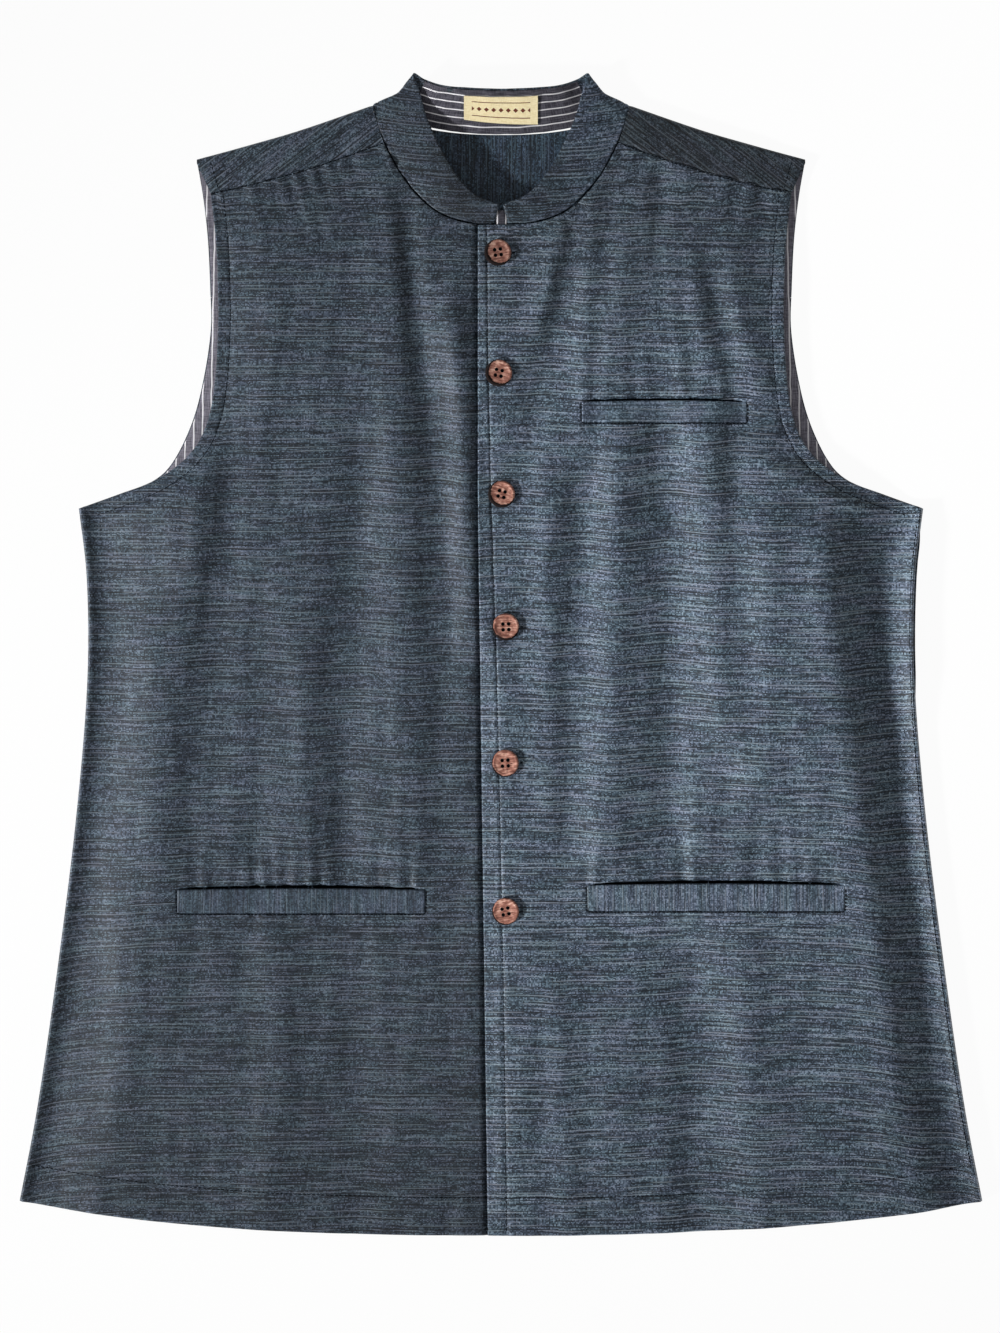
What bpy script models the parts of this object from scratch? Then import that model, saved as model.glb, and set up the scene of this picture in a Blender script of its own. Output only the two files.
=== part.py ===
"""Sleeveless Nehru jacket, buttoned and laid flat on its back.

Every piece that a tailor would cut or sew on is one object. X runs across the jacket, +Y
towards the collar and +Z up from the surface that it lies on. The outer surface of each
cloth piece is worked out from the outline and from one height function for the raised
front, and a Solidify modifier gives the cloth its thickness. Sizes are in millimetres and
turned to metres where a mesh is made.
"""

import math

import bmesh
import bpy
from mathutils import Matrix, Vector
from mathutils.bvhtree import BVHTree

MM = 0.001

# Cloth
FRONT_CLOTH = 1.3  # shell cloth with its fused interlining
BACK_CLOTH = 1.2
COLLAR_CLOTH = 1.2
FACING_CLOTH = 0.6
LABEL_CLOTH = 0.4
WELT_CLOTH = 0.9
SEAM_GAP = 0.3  # between neighbouring pieces

# Outline
HEM_Y = -383.0  # lowest point of the hem, at the centre front
HEM_RISE = 22.0  # from there up to the side seam
HEM_CURVE = 2.6
HEM_HALF = 317.5
UNDERARM = (278.5, 95.5)
YOKE_SEAM_Y = 235.0  # across the back
SEAM_SAG = 3.0  # of the front shoulder seam below a straight line
NECK_HALF = 85.0  # at the shoulder fold
BACK_NECK_Y = 342.0
UNDER_EDGE = 14.0  # the under front runs this far past the centre
OVER_EDGE_TOP = 15.0
OVER_EDGE_HEM = 8.7
EDGE_BEND_Y = 100.0  # the front edge leans towards the centre below this

# Loft of the front over the back
LOFT = 12.0
SIDE_FLAT = 4.0  # the side seam lies flat this far in
SIDE_SLOPE = 58.0  # and the front rises over this width
SHOULDER_LOFT = 0.42  # share of the loft left at the shoulder fold
SHOULDER_REACH = 110.0
ARMHOLE_LOFT = 0.5  # share left at the armhole edge
ARMHOLE_REACH = 42.0
HEM_LOFT = 0.68  # share left at the hem
HEM_REACH = 120.0
OVERLAP_LIFT = 2.1  # the over front rides this high on the under front
OVERLAP_REACH = (18.0, 48.0)  # and comes down between these

# Points of each outline, on the half with X above 0: (x, y)
SIDE_SEAM = [(317.5, -361.0), (306.0, -300.0), (293.7, -216.0), (280.5, -110.0),
             (273.0, -20.0), (273.2, 48.0), UNDERARM]
FRONT_ARMHOLE_LOW = [UNDERARM, (250.0, 105.0), (224.0, 116.0), (204.0, 132.0), (193.0, 153.0),
                     (188.0, 183.0), (186.0, 222.0)]
FRONT_ARMHOLE_HIGH = [(186.0, 222.0), (187.0, 258.0), (189.0, 283.0), (191.5, 303.5)]
BACK_ARMHOLE = [UNDERARM, (252.0, 105.0), (229.0, 114.0), (215.9, 127.0), (203.5, 153.0),
                (196.0, 182.0), (191.4, 214.0), (191.8, 240.0), (193.4, 272.0), (196.5, 299.0),
                (200.3, 321.0)]
NECKLINE = [(0.0, 281.5), (20.0, 282.3), (33.0, 285.5), (43.0, 290.3), (53.5, 299.0),
            (63.5, 311.0), (72.0, 325.0), (77.5, 336.5)]
SHOULDER_FOLD = [(NECK_HALF, 361.0), (132.0, 344.8), (165.0, 335.2), (200.5, 325.6)]

# Soft folds of the fronts, from the collar and shoulders down: centre line, half width, height
FOLD_COLUMNS = ("top_x", "top_y", "low_x", "low_y", "half_width", "height")
FOLDS = [
    (-66, 318, -48, 140, 10.0, -2.2),
    (-42, 196, -28, -54, 12.0, -2.0),
    (-33, 238, -12, -4, 10.0, 3.0),
    (42, 250, 19, 134, 12.0, -2.4),
    (86, 295, 69, 170, 13.0, 2.4),
    (143, 253, 160, 145, 10.0, -2.8),
    (-233, 24, -255, -200, 15.0, 2.4),
    (-196, 56, -210, -136, 18.0, -3.8),
    (-195, 165, -216, -142, 15.0, 2.8),
    (-162, 55, -160, -147, 13.0, -1.8),
    (-92, 158, -102, -147, 16.0, -2.2),
    (-68, 134, -63, -154, 17.0, 1.8),
    (40, 159, 46, -112, 12.0, 1.8),
    (54, 127, 41, -124, 14.0, -2.2),
    (78, 163, 71, -146, 15.0, 3.8),
    (108, 166, 112, -146, 12.0, -2.2),
    (134, 160, 146, -60, 14.0, 3.2),
    (166, 100, 171, -93, 18.0, 3.6),
    (183, 103, 198, -76, 21.0, 3.4),
    (207, 95, 265, -231, 17.0, 4.0),
    (-143, -167, -158, -383, 15.0, 1.2),
    (-94, -186, -96, -383, 17.0, -1.5),
    (34, -200, 46, -383, 10.0, 1.6),
    (121, -174, 131, -383, 18.0, -4.2),
    (142, -214, 153, -383, 14.0, -1.6),
    (182, -172, 201, -383, 15.0, -1.5),
]
FOLD_FADE = 45.0  # over which a fold begins and ends

# Collar, a row for each section from the centre front round to the centre back.
# A section past the fold lies on the back layer, so it states its own height.
COLLAR_COLUMNS = ("lower_x", "lower_y", "upper_x", "upper_y", "lower_z", "upper_z")
COLLAR_FRONT = [
    (4.4, 282.4, 1.6, 294.8, None, 14.6),
    (20.0, 283.3, 17.0, 301.5, None, 14.6),
    (42.3, 291.3, 29.0, 314.0, None, 14.2),
    (62.5, 311.4, 40.5, 333.5, None, 13.6),
    (74.6, 332.5, 49.0, 353.0, None, 13.2),
    (81.9, 351.0, 53.5, 369.0, None, 13.3),
]
COLLAR_BACK = [
    (84.2, 361.6, 57.6, 381.5, 4.6, 12.4),
    (73.0, 354.6, 50.0, 377.6, 1.5, 8.5),
    (54.0, 348.6, 38.0, 373.4, 1.0, 14.8),
    (29.0, 344.2, 20.0, 371.4, 0.8, 17.4),
    (0.0, 342.6, 0.0, 370.8, 0.8, 18.0),
]
COLLAR_SETS = 2  # grid columns for each section of the table
FACING_SPAN = (0.03, 0.955)  # of the collar's height
FACING_FROM = 7  # the section where the striped facing comes into view

# Trim
WELT_COLUMNS = ("name", "inner_x", "outer_x", "top_y", "bottom_y")
WELTS = [
    ("chest_welt", 53.0, 161.7, 166.0, 151.5),
    ("left_pocket_welt", 56.4, 225.7, -151.5, -169.5),
    ("right_pocket_welt", -49.8, -212.9, -155.0, -171.0),
]
WELT_OFFSET = 0.7
BUTTON_RADIUS = 8.9  # a 28 line button
BUTTON_THICKNESS = 2.8
BUTTON_HOLE_RADIUS = 1.25
BUTTON_HOLE_OUT = 1.9
BUTTON_SEAT = 0.4
# each button leans on its thread, by these slopes
BUTTON_COLUMNS = ("x", "y", "lean_x", "lean_y")
BUTTONS = [
    (-2.2, 262.7, 0.15, 0.10),
    (-1.6, 183.6, 0.15, 0.10),
    (0.2, 104.2, 0.08, 0.10),
    (3.0, 17.1, 0.02, 0.09),
    (2.7, -72.2, 0.05, 0.05),
    (3.0, -169.5, 0.06, 0.06),
]
LABEL_HALF = 24.0
LABEL_SPAN = (0.22, 0.84)  # of the collar's height, at the centre back
FACING_WIDTH = 30.0
LOOP_HALF = 3.8
LOOP_END_Y = 290.0
LOOP_DROP = 4.0  # it slants down under the collar's ends

MATERIALS = {  # colour (linear), roughness
    "navy_slub_cloth": ((0.075, 0.095, 0.125), 0.85),
    "striped_facing_cloth": ((0.12, 0.115, 0.135), 0.85),
    "cream_label_cloth": ((0.80, 0.68, 0.42), 0.7),
    "brown_button": ((0.25, 0.09, 0.055), 0.4),
}


def smooth(share):
    """Smooth step from 0 to 1."""
    t = min(max(share, 0.0), 1.0)
    return t * t * (3 - 2 * t)


def spline(points, count):
    """count + 1 points, evenly spaced along a smooth curve through the given ones."""
    ends = [Vector(p) for p in points]
    ends = [2 * ends[0] - ends[1], *ends, 2 * ends[-1] - ends[-2]]
    fine = []
    steps = 24
    for a, b, c, d in zip(ends, ends[1:], ends[2:], ends[3:]):
        for k in range(steps):
            t = k / steps
            fine.append(0.5 * (2 * b + (c - a) * t + (2 * a - 5 * b + 4 * c - d) * t * t
                               + (3 * b - a - 3 * c + d) * t * t * t))
    fine.append(ends[-2])
    lengths = [0.0]
    for p, q in zip(fine, fine[1:]):
        lengths.append(lengths[-1] + (q - p).length)
    found = []
    at = 0
    for k in range(count + 1):
        want = lengths[-1] * k / count
        while at < len(fine) - 2 and lengths[at + 1] < want:
            at += 1
        share = (want - lengths[at]) / (lengths[at + 1] - lengths[at])
        found.append(fine[at].lerp(fine[at + 1], share))
    return found


def level(points, value, axis=0):
    """The other coordinate of a short table of points where the given one has this value."""
    ordered = sorted(points, key=lambda p: p[axis])
    if value <= ordered[0][axis]:
        return ordered[0][1 - axis]
    for p, q in zip(ordered, ordered[1:]):
        if value <= q[axis]:
            share = (value - p[axis]) / (q[axis] - p[axis])
            return p[1 - axis] + (q[1 - axis] - p[1 - axis]) * share
    return ordered[-1][1 - axis]


SIDE_LINE = spline(SIDE_SEAM, 40)
ARMHOLE_LINE = spline(FRONT_ARMHOLE_LOW, 30) + spline(FRONT_ARMHOLE_HIGH, 16)[1:]
FOLD_LINE = spline(SHOULDER_FOLD, 16)


def side_x(y):
    return level(SIDE_LINE, y, axis=1)


def armhole_x(y):
    return level(ARMHOLE_LINE, y, axis=1)


def shoulder_fold_y(x):
    return level(FOLD_LINE, abs(x))


def hem_y(x):
    return HEM_Y + HEM_RISE * (abs(x) / HEM_HALF) ** HEM_CURVE


def over_edge_x(y):
    lean = min(max((EDGE_BEND_Y - y) / (EDGE_BEND_Y - HEM_Y), 0.0), 1.0)
    return -(OVER_EDGE_TOP + (OVER_EDGE_HEM - OVER_EDGE_TOP) * lean)


def fold_height(x, y):
    """Sum of the soft folds at a point of the front."""
    total = 0.0
    for row in FOLDS:
        fold = dict(zip(FOLD_COLUMNS, row))
        along = (fold["top_y"] - y) / (fold["top_y"] - fold["low_y"])
        centre = fold["top_x"] + (fold["low_x"] - fold["top_x"]) * along
        off = (x - centre) / fold["half_width"]
        if abs(off) > 3:
            continue
        reach = smooth((fold["top_y"] + FOLD_FADE / 3 - y) / FOLD_FADE)
        if fold["low_y"] > HEM_Y:
            reach *= smooth((y - fold["low_y"] + FOLD_FADE / 2) / FOLD_FADE)
        total += fold["height"] * reach * math.exp(-off * off)
    return total


def front_under(x, y):
    """Height of the underside of the raised front over the surface that the jacket lies on."""
    across = abs(x)
    outline = side_x(y) if y < UNDERARM[1] else UNDERARM[0]
    side = smooth((outline - across - SIDE_FLAT) / SIDE_SLOPE)
    shoulder = SHOULDER_LOFT + (1 - SHOULDER_LOFT) * smooth(
        (shoulder_fold_y(x) - y) / SHOULDER_REACH)
    armhole = 1.0
    if y > UNDERARM[1]:
        near = smooth((armhole_x(y) - across) / ARMHOLE_REACH)
        near = max(near, 1 - smooth((y - UNDERARM[1]) / ARMHOLE_REACH + 0.45))
        armhole = ARMHOLE_LOFT + (1 - ARMHOLE_LOFT) * near
    hem = HEM_LOFT + (1 - HEM_LOFT) * smooth((y - hem_y(x)) / HEM_REACH)
    share = side * shoulder * armhole * hem
    seat = BACK_CLOTH + SEAM_GAP
    return seat + LOFT * share + fold_height(x, y) * side * min(1.0, shoulder * armhole)


def front_top(x, y, over):
    """Height of the outer surface of a front; the over front is lifted where the two overlap."""
    lift = 0.0
    if over:
        start, end = OVERLAP_REACH
        lift = OVERLAP_LIFT * (1 - smooth((x - start) / (end - start)))
    return front_under(x, y) + FRONT_CLOTH + lift


def material(name):
    found = bpy.data.materials.get(name)
    if found:
        return found
    colour, roughness = MATERIALS[name]
    made = bpy.data.materials.new(name)
    made.use_nodes = True
    shader = made.node_tree.nodes["Principled BSDF"]
    shader.inputs["Base Color"].default_value = (*colour, 1.0)
    shader.inputs["Roughness"].default_value = roughness
    return made


def add_object(name, bm, material_name):
    mesh = bpy.data.meshes.new(name)
    bm.to_mesh(mesh)
    bm.free()
    mesh.materials.append(material(material_name))
    made = bpy.data.objects.new(name, mesh)
    bpy.context.scene.collection.objects.link(made)
    return made


def cloth(name, columns, rows, place, thickness, material_name, flip=False, keep=None, move_in=0.0,
          even=True):
    """A wall of cloth: a grid whose points place(i, j) puts on the outer surface, in millimetres.

    flip turns the outer side round, keep(i, j) says which cells exist, and move_in shifts the
    whole piece inwards, as for a facing that lies under another cloth. A piece with a sharp
    turn has even off, so that its inner side doesn't overshoot there.
    """
    bm = bmesh.new()
    bmesh.ops.create_grid(bm, x_segments=columns, y_segments=rows, size=1.0)
    cell = {}
    for vert in bm.verts:
        cell[vert] = (round((vert.co.x + 1) / 2 * columns), round((vert.co.y + 1) / 2 * rows))
    if keep:
        dropped = []
        for face in bm.faces:
            i = min(cell[v][0] for v in face.verts)
            j = min(cell[v][1] for v in face.verts)
            if not keep(i, j):
                dropped.append(face)
        bmesh.ops.delete(bm, geom=dropped, context="FACES")
    for vert in bm.verts:
        vert.co = Vector(place(*cell[vert])) * MM
    if flip:
        bmesh.ops.reverse_faces(bm, faces=bm.faces[:])
    made = add_object(name, bm, material_name)
    if move_in:
        shift = made.modifiers.new("MoveIn", "DISPLACE")
        shift.mid_level = 0.0
        shift.strength = -move_in * MM
    wall = made.modifiers.new("Cloth", "SOLIDIFY")
    wall.thickness = thickness * MM
    wall.offset = -1.0
    wall.use_even_offset = even
    return made


def front_rows(over):
    """(inner point, outer point) of each row of a front, from the hem to the shoulder seam.

    The inner end runs up the front edge and along the neckline, and the outer end up the side
    seam and the armhole. X grows away from the centre on either side.
    """
    def edge(y):
        return over_edge_x(y) if over else -UNDER_EDGE

    hem = [(SIDE_SEAM[0][0], SIDE_SEAM[0][1]), (edge(HEM_Y), HEM_Y)]
    underarm_row_y, corner_y = 112.0, NECKLINE[0][1] - 0.3
    rows = []
    low_count, mid_count, high_count = 9, 6, 6
    outer = spline(SIDE_SEAM, low_count)
    for k in range(low_count):
        y = hem[1][1] + (underarm_row_y - hem[1][1]) * k / low_count
        rows.append((Vector((edge(y), y)), outer[k]))
    outer = spline(FRONT_ARMHOLE_LOW, mid_count)
    for k in range(mid_count):
        y = underarm_row_y + (corner_y - underarm_row_y) * k / mid_count
        rows.append((Vector((edge(y), y)), outer[k]))
    outer = spline(FRONT_ARMHOLE_HIGH, high_count)
    inner = spline([(edge(corner_y), corner_y), *NECKLINE], high_count)
    rows += list(zip(inner, outer))
    return rows


def front(name, over):
    side = 1 if over else -1
    rows = front_rows(over)
    columns = 30
    last = len(rows) - 1

    def place(i, j):
        inner, outer = rows[j]
        share = i / columns
        along, y = inner.lerp(outer, share)
        if j == 0:
            y = hem_y(along)
        if j == last:
            y -= SEAM_SAG * math.sin(math.pi * share) + SEAM_GAP
        x = side * along
        return x, y, front_top(x, y, over)

    return cloth(name, columns, last, place, FRONT_CLOTH, "navy_slub_cloth", flip=not over)


def back_panel():
    columns, rows = 12, 14
    armhole = spline(BACK_ARMHOLE, 60)
    seam_y = YOKE_SEAM_Y - SEAM_GAP
    below = [p for p in armhole if p.y < seam_y] + [Vector((level(armhole, seam_y, 1), seam_y))]
    outline = spline(SIDE_SEAM, 7) + spline(below, rows - 7)[1:]

    def place(i, j):
        across = 2 * i / columns - 1
        x = outline[j].x * across
        y = hem_y(x) if j == 0 else outline[j].y
        return x, y, 0.0

    return cloth("back_panel", columns, rows, place, BACK_CLOTH, "navy_slub_cloth", flip=True)


def back_neck_y(x):
    ends = shoulder_fold_y(NECK_HALF) - shoulder_fold_radius(NECK_HALF)
    return BACK_NECK_Y + (ends - BACK_NECK_Y) * (abs(x) / NECK_HALF) ** 2.4


def shoulder_fold_radius(x):
    """Outer radius of the fold where the yoke turns from the back to the front."""
    return front_top(x, shoulder_fold_y(x) - 4.0, over=False) / 2


def yoke():
    """The back yoke, which turns over both shoulders and ends at the front shoulder seams."""
    strap, neck = 7, 10
    back_rows, turn_rows, front_count = 5, 6, 3
    columns = 2 * strap + neck
    armhole = spline(BACK_ARMHOLE, 60)
    high = [p for p in armhole if p.y > YOKE_SEAM_Y]
    back_edge = spline([Vector((level(armhole, YOKE_SEAM_Y, 1), YOKE_SEAM_Y)), *high], back_rows)
    seam_start, seam_end = NECKLINE[-1], FRONT_ARMHOLE_HIGH[-1]
    tip_x = SHOULDER_FOLD[-1][0]

    def across(i):
        """Signed share: -1 and 1 at the armholes, and the neck's share in between."""
        if i < strap:
            return -1, (strap - i) / strap
        if i > strap + neck:
            return 1, (i - strap - neck) / strap
        return 0, 2 * (i - strap) / neck - 1

    def place(i, j):
        side, share = across(i)
        if side == 0:
            x = NECK_HALF * share
            if j <= back_rows:
                y = YOKE_SEAM_Y + (back_neck_y(x) - YOKE_SEAM_Y) * j / back_rows
                return x, y, 0.0
            side, share = (1 if share > 0 else -1), 0.0
        if j <= back_rows:
            x = NECK_HALF + (back_edge[j].x - NECK_HALF) * share
            radius = shoulder_fold_radius(x)
            top = shoulder_fold_y(x) - radius
            return side * x, YOKE_SEAM_Y + (top - YOKE_SEAM_Y) * j / back_rows, 0.0
        x = NECK_HALF + (tip_x - NECK_HALF) * share
        radius = shoulder_fold_radius(x)
        fold_y = shoulder_fold_y(x)
        if j <= back_rows + turn_rows:
            turn = math.pi * (j - back_rows) / turn_rows
            return (side * x, fold_y - radius + radius * math.sin(turn),
                    radius * (1 - math.cos(turn)))
        down = (j - back_rows - turn_rows) / front_count
        seam_x = seam_start[0] + (seam_end[0] - seam_start[0]) * share
        seam_y = (seam_start[1] + (seam_end[1] - seam_start[1]) * share
                  - SEAM_SAG * math.sin(math.pi * share))
        x = x + (seam_x - x) * down
        y = fold_y - radius + (seam_y - fold_y + radius) * down
        return side * x, y, front_top(x, y, over=False)

    def keep(i, j):
        return j < back_rows or i < strap or i >= strap + neck

    return cloth("yoke", columns, back_rows + turn_rows + front_count, place, BACK_CLOTH,
                 "navy_slub_cloth", flip=True, keep=keep)


def collar_sections():
    """Lower and upper points of the collar band, from the wearer's left end round to the right."""
    half = []
    for row in COLLAR_FRONT + COLLAR_BACK:
        half.append(dict(zip(COLLAR_COLUMNS, row)))

    def points(section, side):
        x, y, z = section["lower_x"], section["lower_y"], section["lower_z"]
        if z is None:
            z = front_top(side * x, y, over=side > 0) + 0.2
        lift = 0.0
        if section["lower_z"] is None and side > 0:
            lift = front_top(x, y, True) - front_top(x, y, False)
        lower = Vector((side * x, y, z))
        return lower, Vector((side * section["upper_x"], section["upper_y"],
                              section["upper_z"] + lift))

    ring = [points(s, 1) for s in half] + [points(s, -1) for s in reversed(half[:-1])]
    count = COLLAR_SETS * (len(ring) - 1)
    return spline([r[0] for r in ring], count), spline([r[1] for r in ring], count)


def collar():
    lower, upper = collar_sections()
    rows = 4

    def place(i, j):
        return lower[i].lerp(upper[i], j / rows)

    cloth("collar", len(lower) - 1, rows, place, COLLAR_CLOTH, "navy_slub_cloth", even=False)


def collar_facing():
    """The striped inside of the collar, where it stands open at the back of the neck."""
    lower, upper = collar_sections()
    first = FACING_FROM * COLLAR_SETS
    columns = len(lower) - 1 - 2 * first
    rows = 4
    start, end = FACING_SPAN

    def place(i, j):
        return lower[first + i].lerp(upper[first + i], start + (end - start) * j / rows)

    cloth("collar_facing", columns, rows, place, FACING_CLOTH, "striped_facing_cloth",
          move_in=COLLAR_CLOTH + SEAM_GAP)


def neck_label():
    lower, upper = collar_sections()
    middle = [k for k in range(len(lower)) if abs(lower[k].x) < LABEL_HALF + 8]
    first, last = middle[0], middle[-1]
    columns, rows = 8, 3

    def place(i, j):
        x = LABEL_HALF * (1 - 2 * i / columns)
        share = LABEL_SPAN[0] + (LABEL_SPAN[1] - LABEL_SPAN[0]) * j / rows
        for k in range(first, last):
            a, b = lower[k].lerp(upper[k], share), lower[k + 1].lerp(upper[k + 1], share)
            if b.x <= x <= a.x:
                return a.lerp(b, (a.x - x) / (a.x - b.x))
        return lower[first].lerp(upper[first], share)

    cloth("neck_label", columns, rows, place, LABEL_CLOTH, "cream_label_cloth",
          move_in=COLLAR_CLOTH + 2 * SEAM_GAP + FACING_CLOTH + 0.1)


def armhole_facing(name, side):
    """The striped strip that faces the inside of the back armhole."""
    armhole = spline(BACK_ARMHOLE, 120)
    shown = [p for p in armhole if 107.0 < p.y < 316.0]
    rows, columns = 22, 2
    edge = spline(shown[::6], rows)

    def place(i, j):
        point = edge[j]
        ahead = edge[min(j + 1, rows)] - edge[max(j - 1, 0)]
        inward = Vector((-ahead.y, ahead.x)).normalized()
        inward = inward if inward.x < 0 else -inward
        near = 0.6 + (FACING_WIDTH - 0.6) * i / columns
        at = point + inward * near
        return side * at.x, at.y, BACK_CLOTH + SEAM_GAP + FACING_CLOTH

    cloth(name, columns, rows, place, FACING_CLOTH, "striped_facing_cloth", flip=side > 0)


def neck_loop():
    """A small folded loop of the striped cloth in the gap between the collar ends."""
    columns, rows = 2, 3
    start = NECKLINE[0][1] + 0.6

    def place(i, j):
        y = start + (LOOP_END_Y - start) * j / rows
        x = LOOP_HALF * (2 * i / columns - 1)
        arch = 0.5 * math.sin(math.pi * j / rows)
        top = front_top(0, start, over=False) + 0.2
        return x, y, top + arch - LOOP_DROP * j / rows

    cloth("neck_loop", columns, rows, place, 0.8, "striped_facing_cloth")


def surface_of(made):
    """A tree of a finished piece's faces, to rest other pieces on."""
    bpy.context.view_layer.update()
    graph = bpy.context.evaluated_depsgraph_get()
    return BVHTree.FromObject(made, graph)


def height_on(tree, x, y):
    hit = tree.ray_cast(Vector((x, y, 100.0)) * MM, Vector((0, 0, -1)))[0]
    return hit.z / MM


def welt(row, tree):
    fields = dict(zip(WELT_COLUMNS, row))
    low, high = sorted((fields["inner_x"], fields["outer_x"]))
    columns, rows = 20, 2
    bow = 0.8  # the mouth gapes a little at its middle

    def place(i, j):
        x = low + (high - low) * i / columns
        top = fields["top_y"] + bow * math.sin(math.pi * i / columns)
        y = fields["bottom_y"] + (top - fields["bottom_y"]) * j / rows
        return x, y, height_on(tree, x, y) + WELT_OFFSET + WELT_CLOTH

    cloth(fields["name"], columns, rows, place, WELT_CLOTH, "navy_slub_cloth")


def button(name, row, tree):
    """A turned four hole button with a raised rim, seated on the cloth."""
    fields = dict(zip(BUTTON_COLUMNS, row))
    x, y = fields["x"], fields["y"]
    profile = [  # radius, height
        (0.0, 0.0), (6.6, 0.0), (BUTTON_RADIUS, 1.0), (BUTTON_RADIUS, 1.9),
        (7.9, BUTTON_THICKNESS), (6.9, BUTTON_THICKNESS), (6.0, 2.3), (0.0, 2.3),
    ]
    sides = 16
    bm = bmesh.new()
    points = [bm.verts.new((r * MM, 0, z * MM)) for r, z in profile]
    edges = [bm.edges.new(pair) for pair in zip(points, points[1:])]
    bmesh.ops.spin(bm, geom=points + edges, cent=(0, 0, 0), axis=(0, 0, 1),
                   angle=2 * math.pi, steps=sides, use_merge=True)
    bmesh.ops.remove_doubles(bm, verts=bm.verts[:], dist=1e-6)
    bmesh.ops.recalc_face_normals(bm, faces=bm.faces[:])
    made = add_object(name, bm, "brown_button")

    cutters = bmesh.new()
    for k in range(4):
        turn = math.pi / 4 + math.pi / 2 * k
        out = Matrix.Translation(Vector((math.cos(turn), math.sin(turn), 0)) * BUTTON_HOLE_OUT
                                 * math.sqrt(2) * MM)
        bmesh.ops.create_cone(cutters, cap_ends=True, segments=6,
                              radius1=BUTTON_HOLE_RADIUS * MM, radius2=BUTTON_HOLE_RADIUS * MM,
                              depth=8 * MM, matrix=out)
    cutter = add_object(name + "_holes", cutters, "brown_button")
    cutter.hide_render = True
    cutter.display_type = "WIRE"
    cut = made.modifiers.new("Holes", "BOOLEAN")
    cut.operation = "DIFFERENCE"
    cut.object = cutter

    ring = []
    for k in range(16):
        turn = 2 * math.pi * k / 16
        at = Vector((x + BUTTON_RADIUS * math.cos(turn), y + BUTTON_RADIUS * math.sin(turn), 0))
        ring.append(Vector((at.x, at.y, height_on(tree, at.x, at.y))))
    slope_x = sum((p.x - x) * p.z for p in ring) / sum((p.x - x) ** 2 for p in ring)
    slope_y = sum((p.y - y) * p.z for p in ring) / sum((p.y - y) ** 2 for p in ring)
    slope_x -= fields["lean_x"]
    slope_y -= fields["lean_y"]
    centre = Vector((x, y, height_on(tree, x, y)))
    proud = max(p.z - slope_x * (p.x - x) - slope_y * (p.y - y) for p in [*ring, centre])
    normal = Vector((-slope_x, -slope_y, 1)).normalized()
    seat = Vector((x, y, proud)) + normal * BUTTON_SEAT
    for turned in (made, cutter):
        turned.rotation_mode = "QUATERNION"
        turned.rotation_quaternion = Vector((0, 0, 1)).rotation_difference(normal)
        turned.location = seat * MM
    made.data.shade_smooth()
    made.data.set_sharp_from_angle(angle=math.radians(35))
    return made


def clear_scene():
    for old in list(bpy.data.objects):
        bpy.data.objects.remove(old)


def main():
    clear_scene()
    back_panel()
    yoke()
    front("front_right", over=False)
    front("front_left", over=True)
    collar()
    collar_facing()
    neck_label()
    armhole_facing("armhole_facing_right", -1)
    armhole_facing("armhole_facing_left", 1)
    neck_loop()
    over_tree = surface_of(bpy.data.objects["front_left"])
    under_tree = surface_of(bpy.data.objects["front_right"])
    for row in WELTS:
        welt(row, over_tree if row[1] > 0 else under_tree)
    for k, row in enumerate(BUTTONS):
        button(f"button_{k + 1}", row, over_tree)


main()
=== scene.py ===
import math

import bmesh
import bpy
import numpy as np
from mathutils import Matrix, Vector
from mathutils.bvhtree import BVHTree


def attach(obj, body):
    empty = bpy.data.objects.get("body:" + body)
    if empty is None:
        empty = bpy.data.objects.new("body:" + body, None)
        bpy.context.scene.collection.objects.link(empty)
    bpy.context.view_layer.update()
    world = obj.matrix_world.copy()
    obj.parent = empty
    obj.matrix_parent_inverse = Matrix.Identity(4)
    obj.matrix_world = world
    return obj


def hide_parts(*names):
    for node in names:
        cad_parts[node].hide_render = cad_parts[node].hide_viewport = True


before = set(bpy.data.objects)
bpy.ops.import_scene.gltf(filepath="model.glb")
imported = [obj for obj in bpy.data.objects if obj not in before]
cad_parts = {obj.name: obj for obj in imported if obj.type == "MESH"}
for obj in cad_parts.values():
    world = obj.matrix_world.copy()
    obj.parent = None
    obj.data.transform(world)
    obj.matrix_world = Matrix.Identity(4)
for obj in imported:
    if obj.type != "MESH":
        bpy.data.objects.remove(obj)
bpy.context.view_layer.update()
mm = 0.001
print("frame loaded")


# curves and small functions, all in millimetres

def smooth(share):
    t = np.clip(share, 0.0, 1.0)
    return t * t * (3 - 2 * t)


def spline(points, count):
    # count + 1 points, evenly spaced along a smooth curve through the given ones
    p = np.asarray(points, float)
    p = np.vstack([2 * p[0] - p[1], p, 2 * p[-1] - p[-2]])
    t = np.linspace(0, 1, 24, endpoint=False)[:, None]
    fine = []
    for a, b, c, d in zip(p, p[1:], p[2:], p[3:]):
        fine.append(0.5 * (2 * b + (c - a) * t + (2 * a - 5 * b + 4 * c - d) * t ** 2
                           + (3 * b - a - 3 * c + d) * t ** 3))
    fine = np.vstack([*fine, p[-2]])
    return evenly(fine, np.linspace(0, 1, count + 1))


def lengths(line):
    # how far along a line each of its points is
    return np.concatenate([[0], np.cumsum(np.linalg.norm(np.diff(line, axis=0), axis=1))])


def evenly(line, shares):
    # points of a line at these shares of its length
    run = lengths(line)
    run /= run[-1]
    return np.stack([np.interp(shares, run, line[:, k]) for k in range(line.shape[1])], axis=1)


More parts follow.
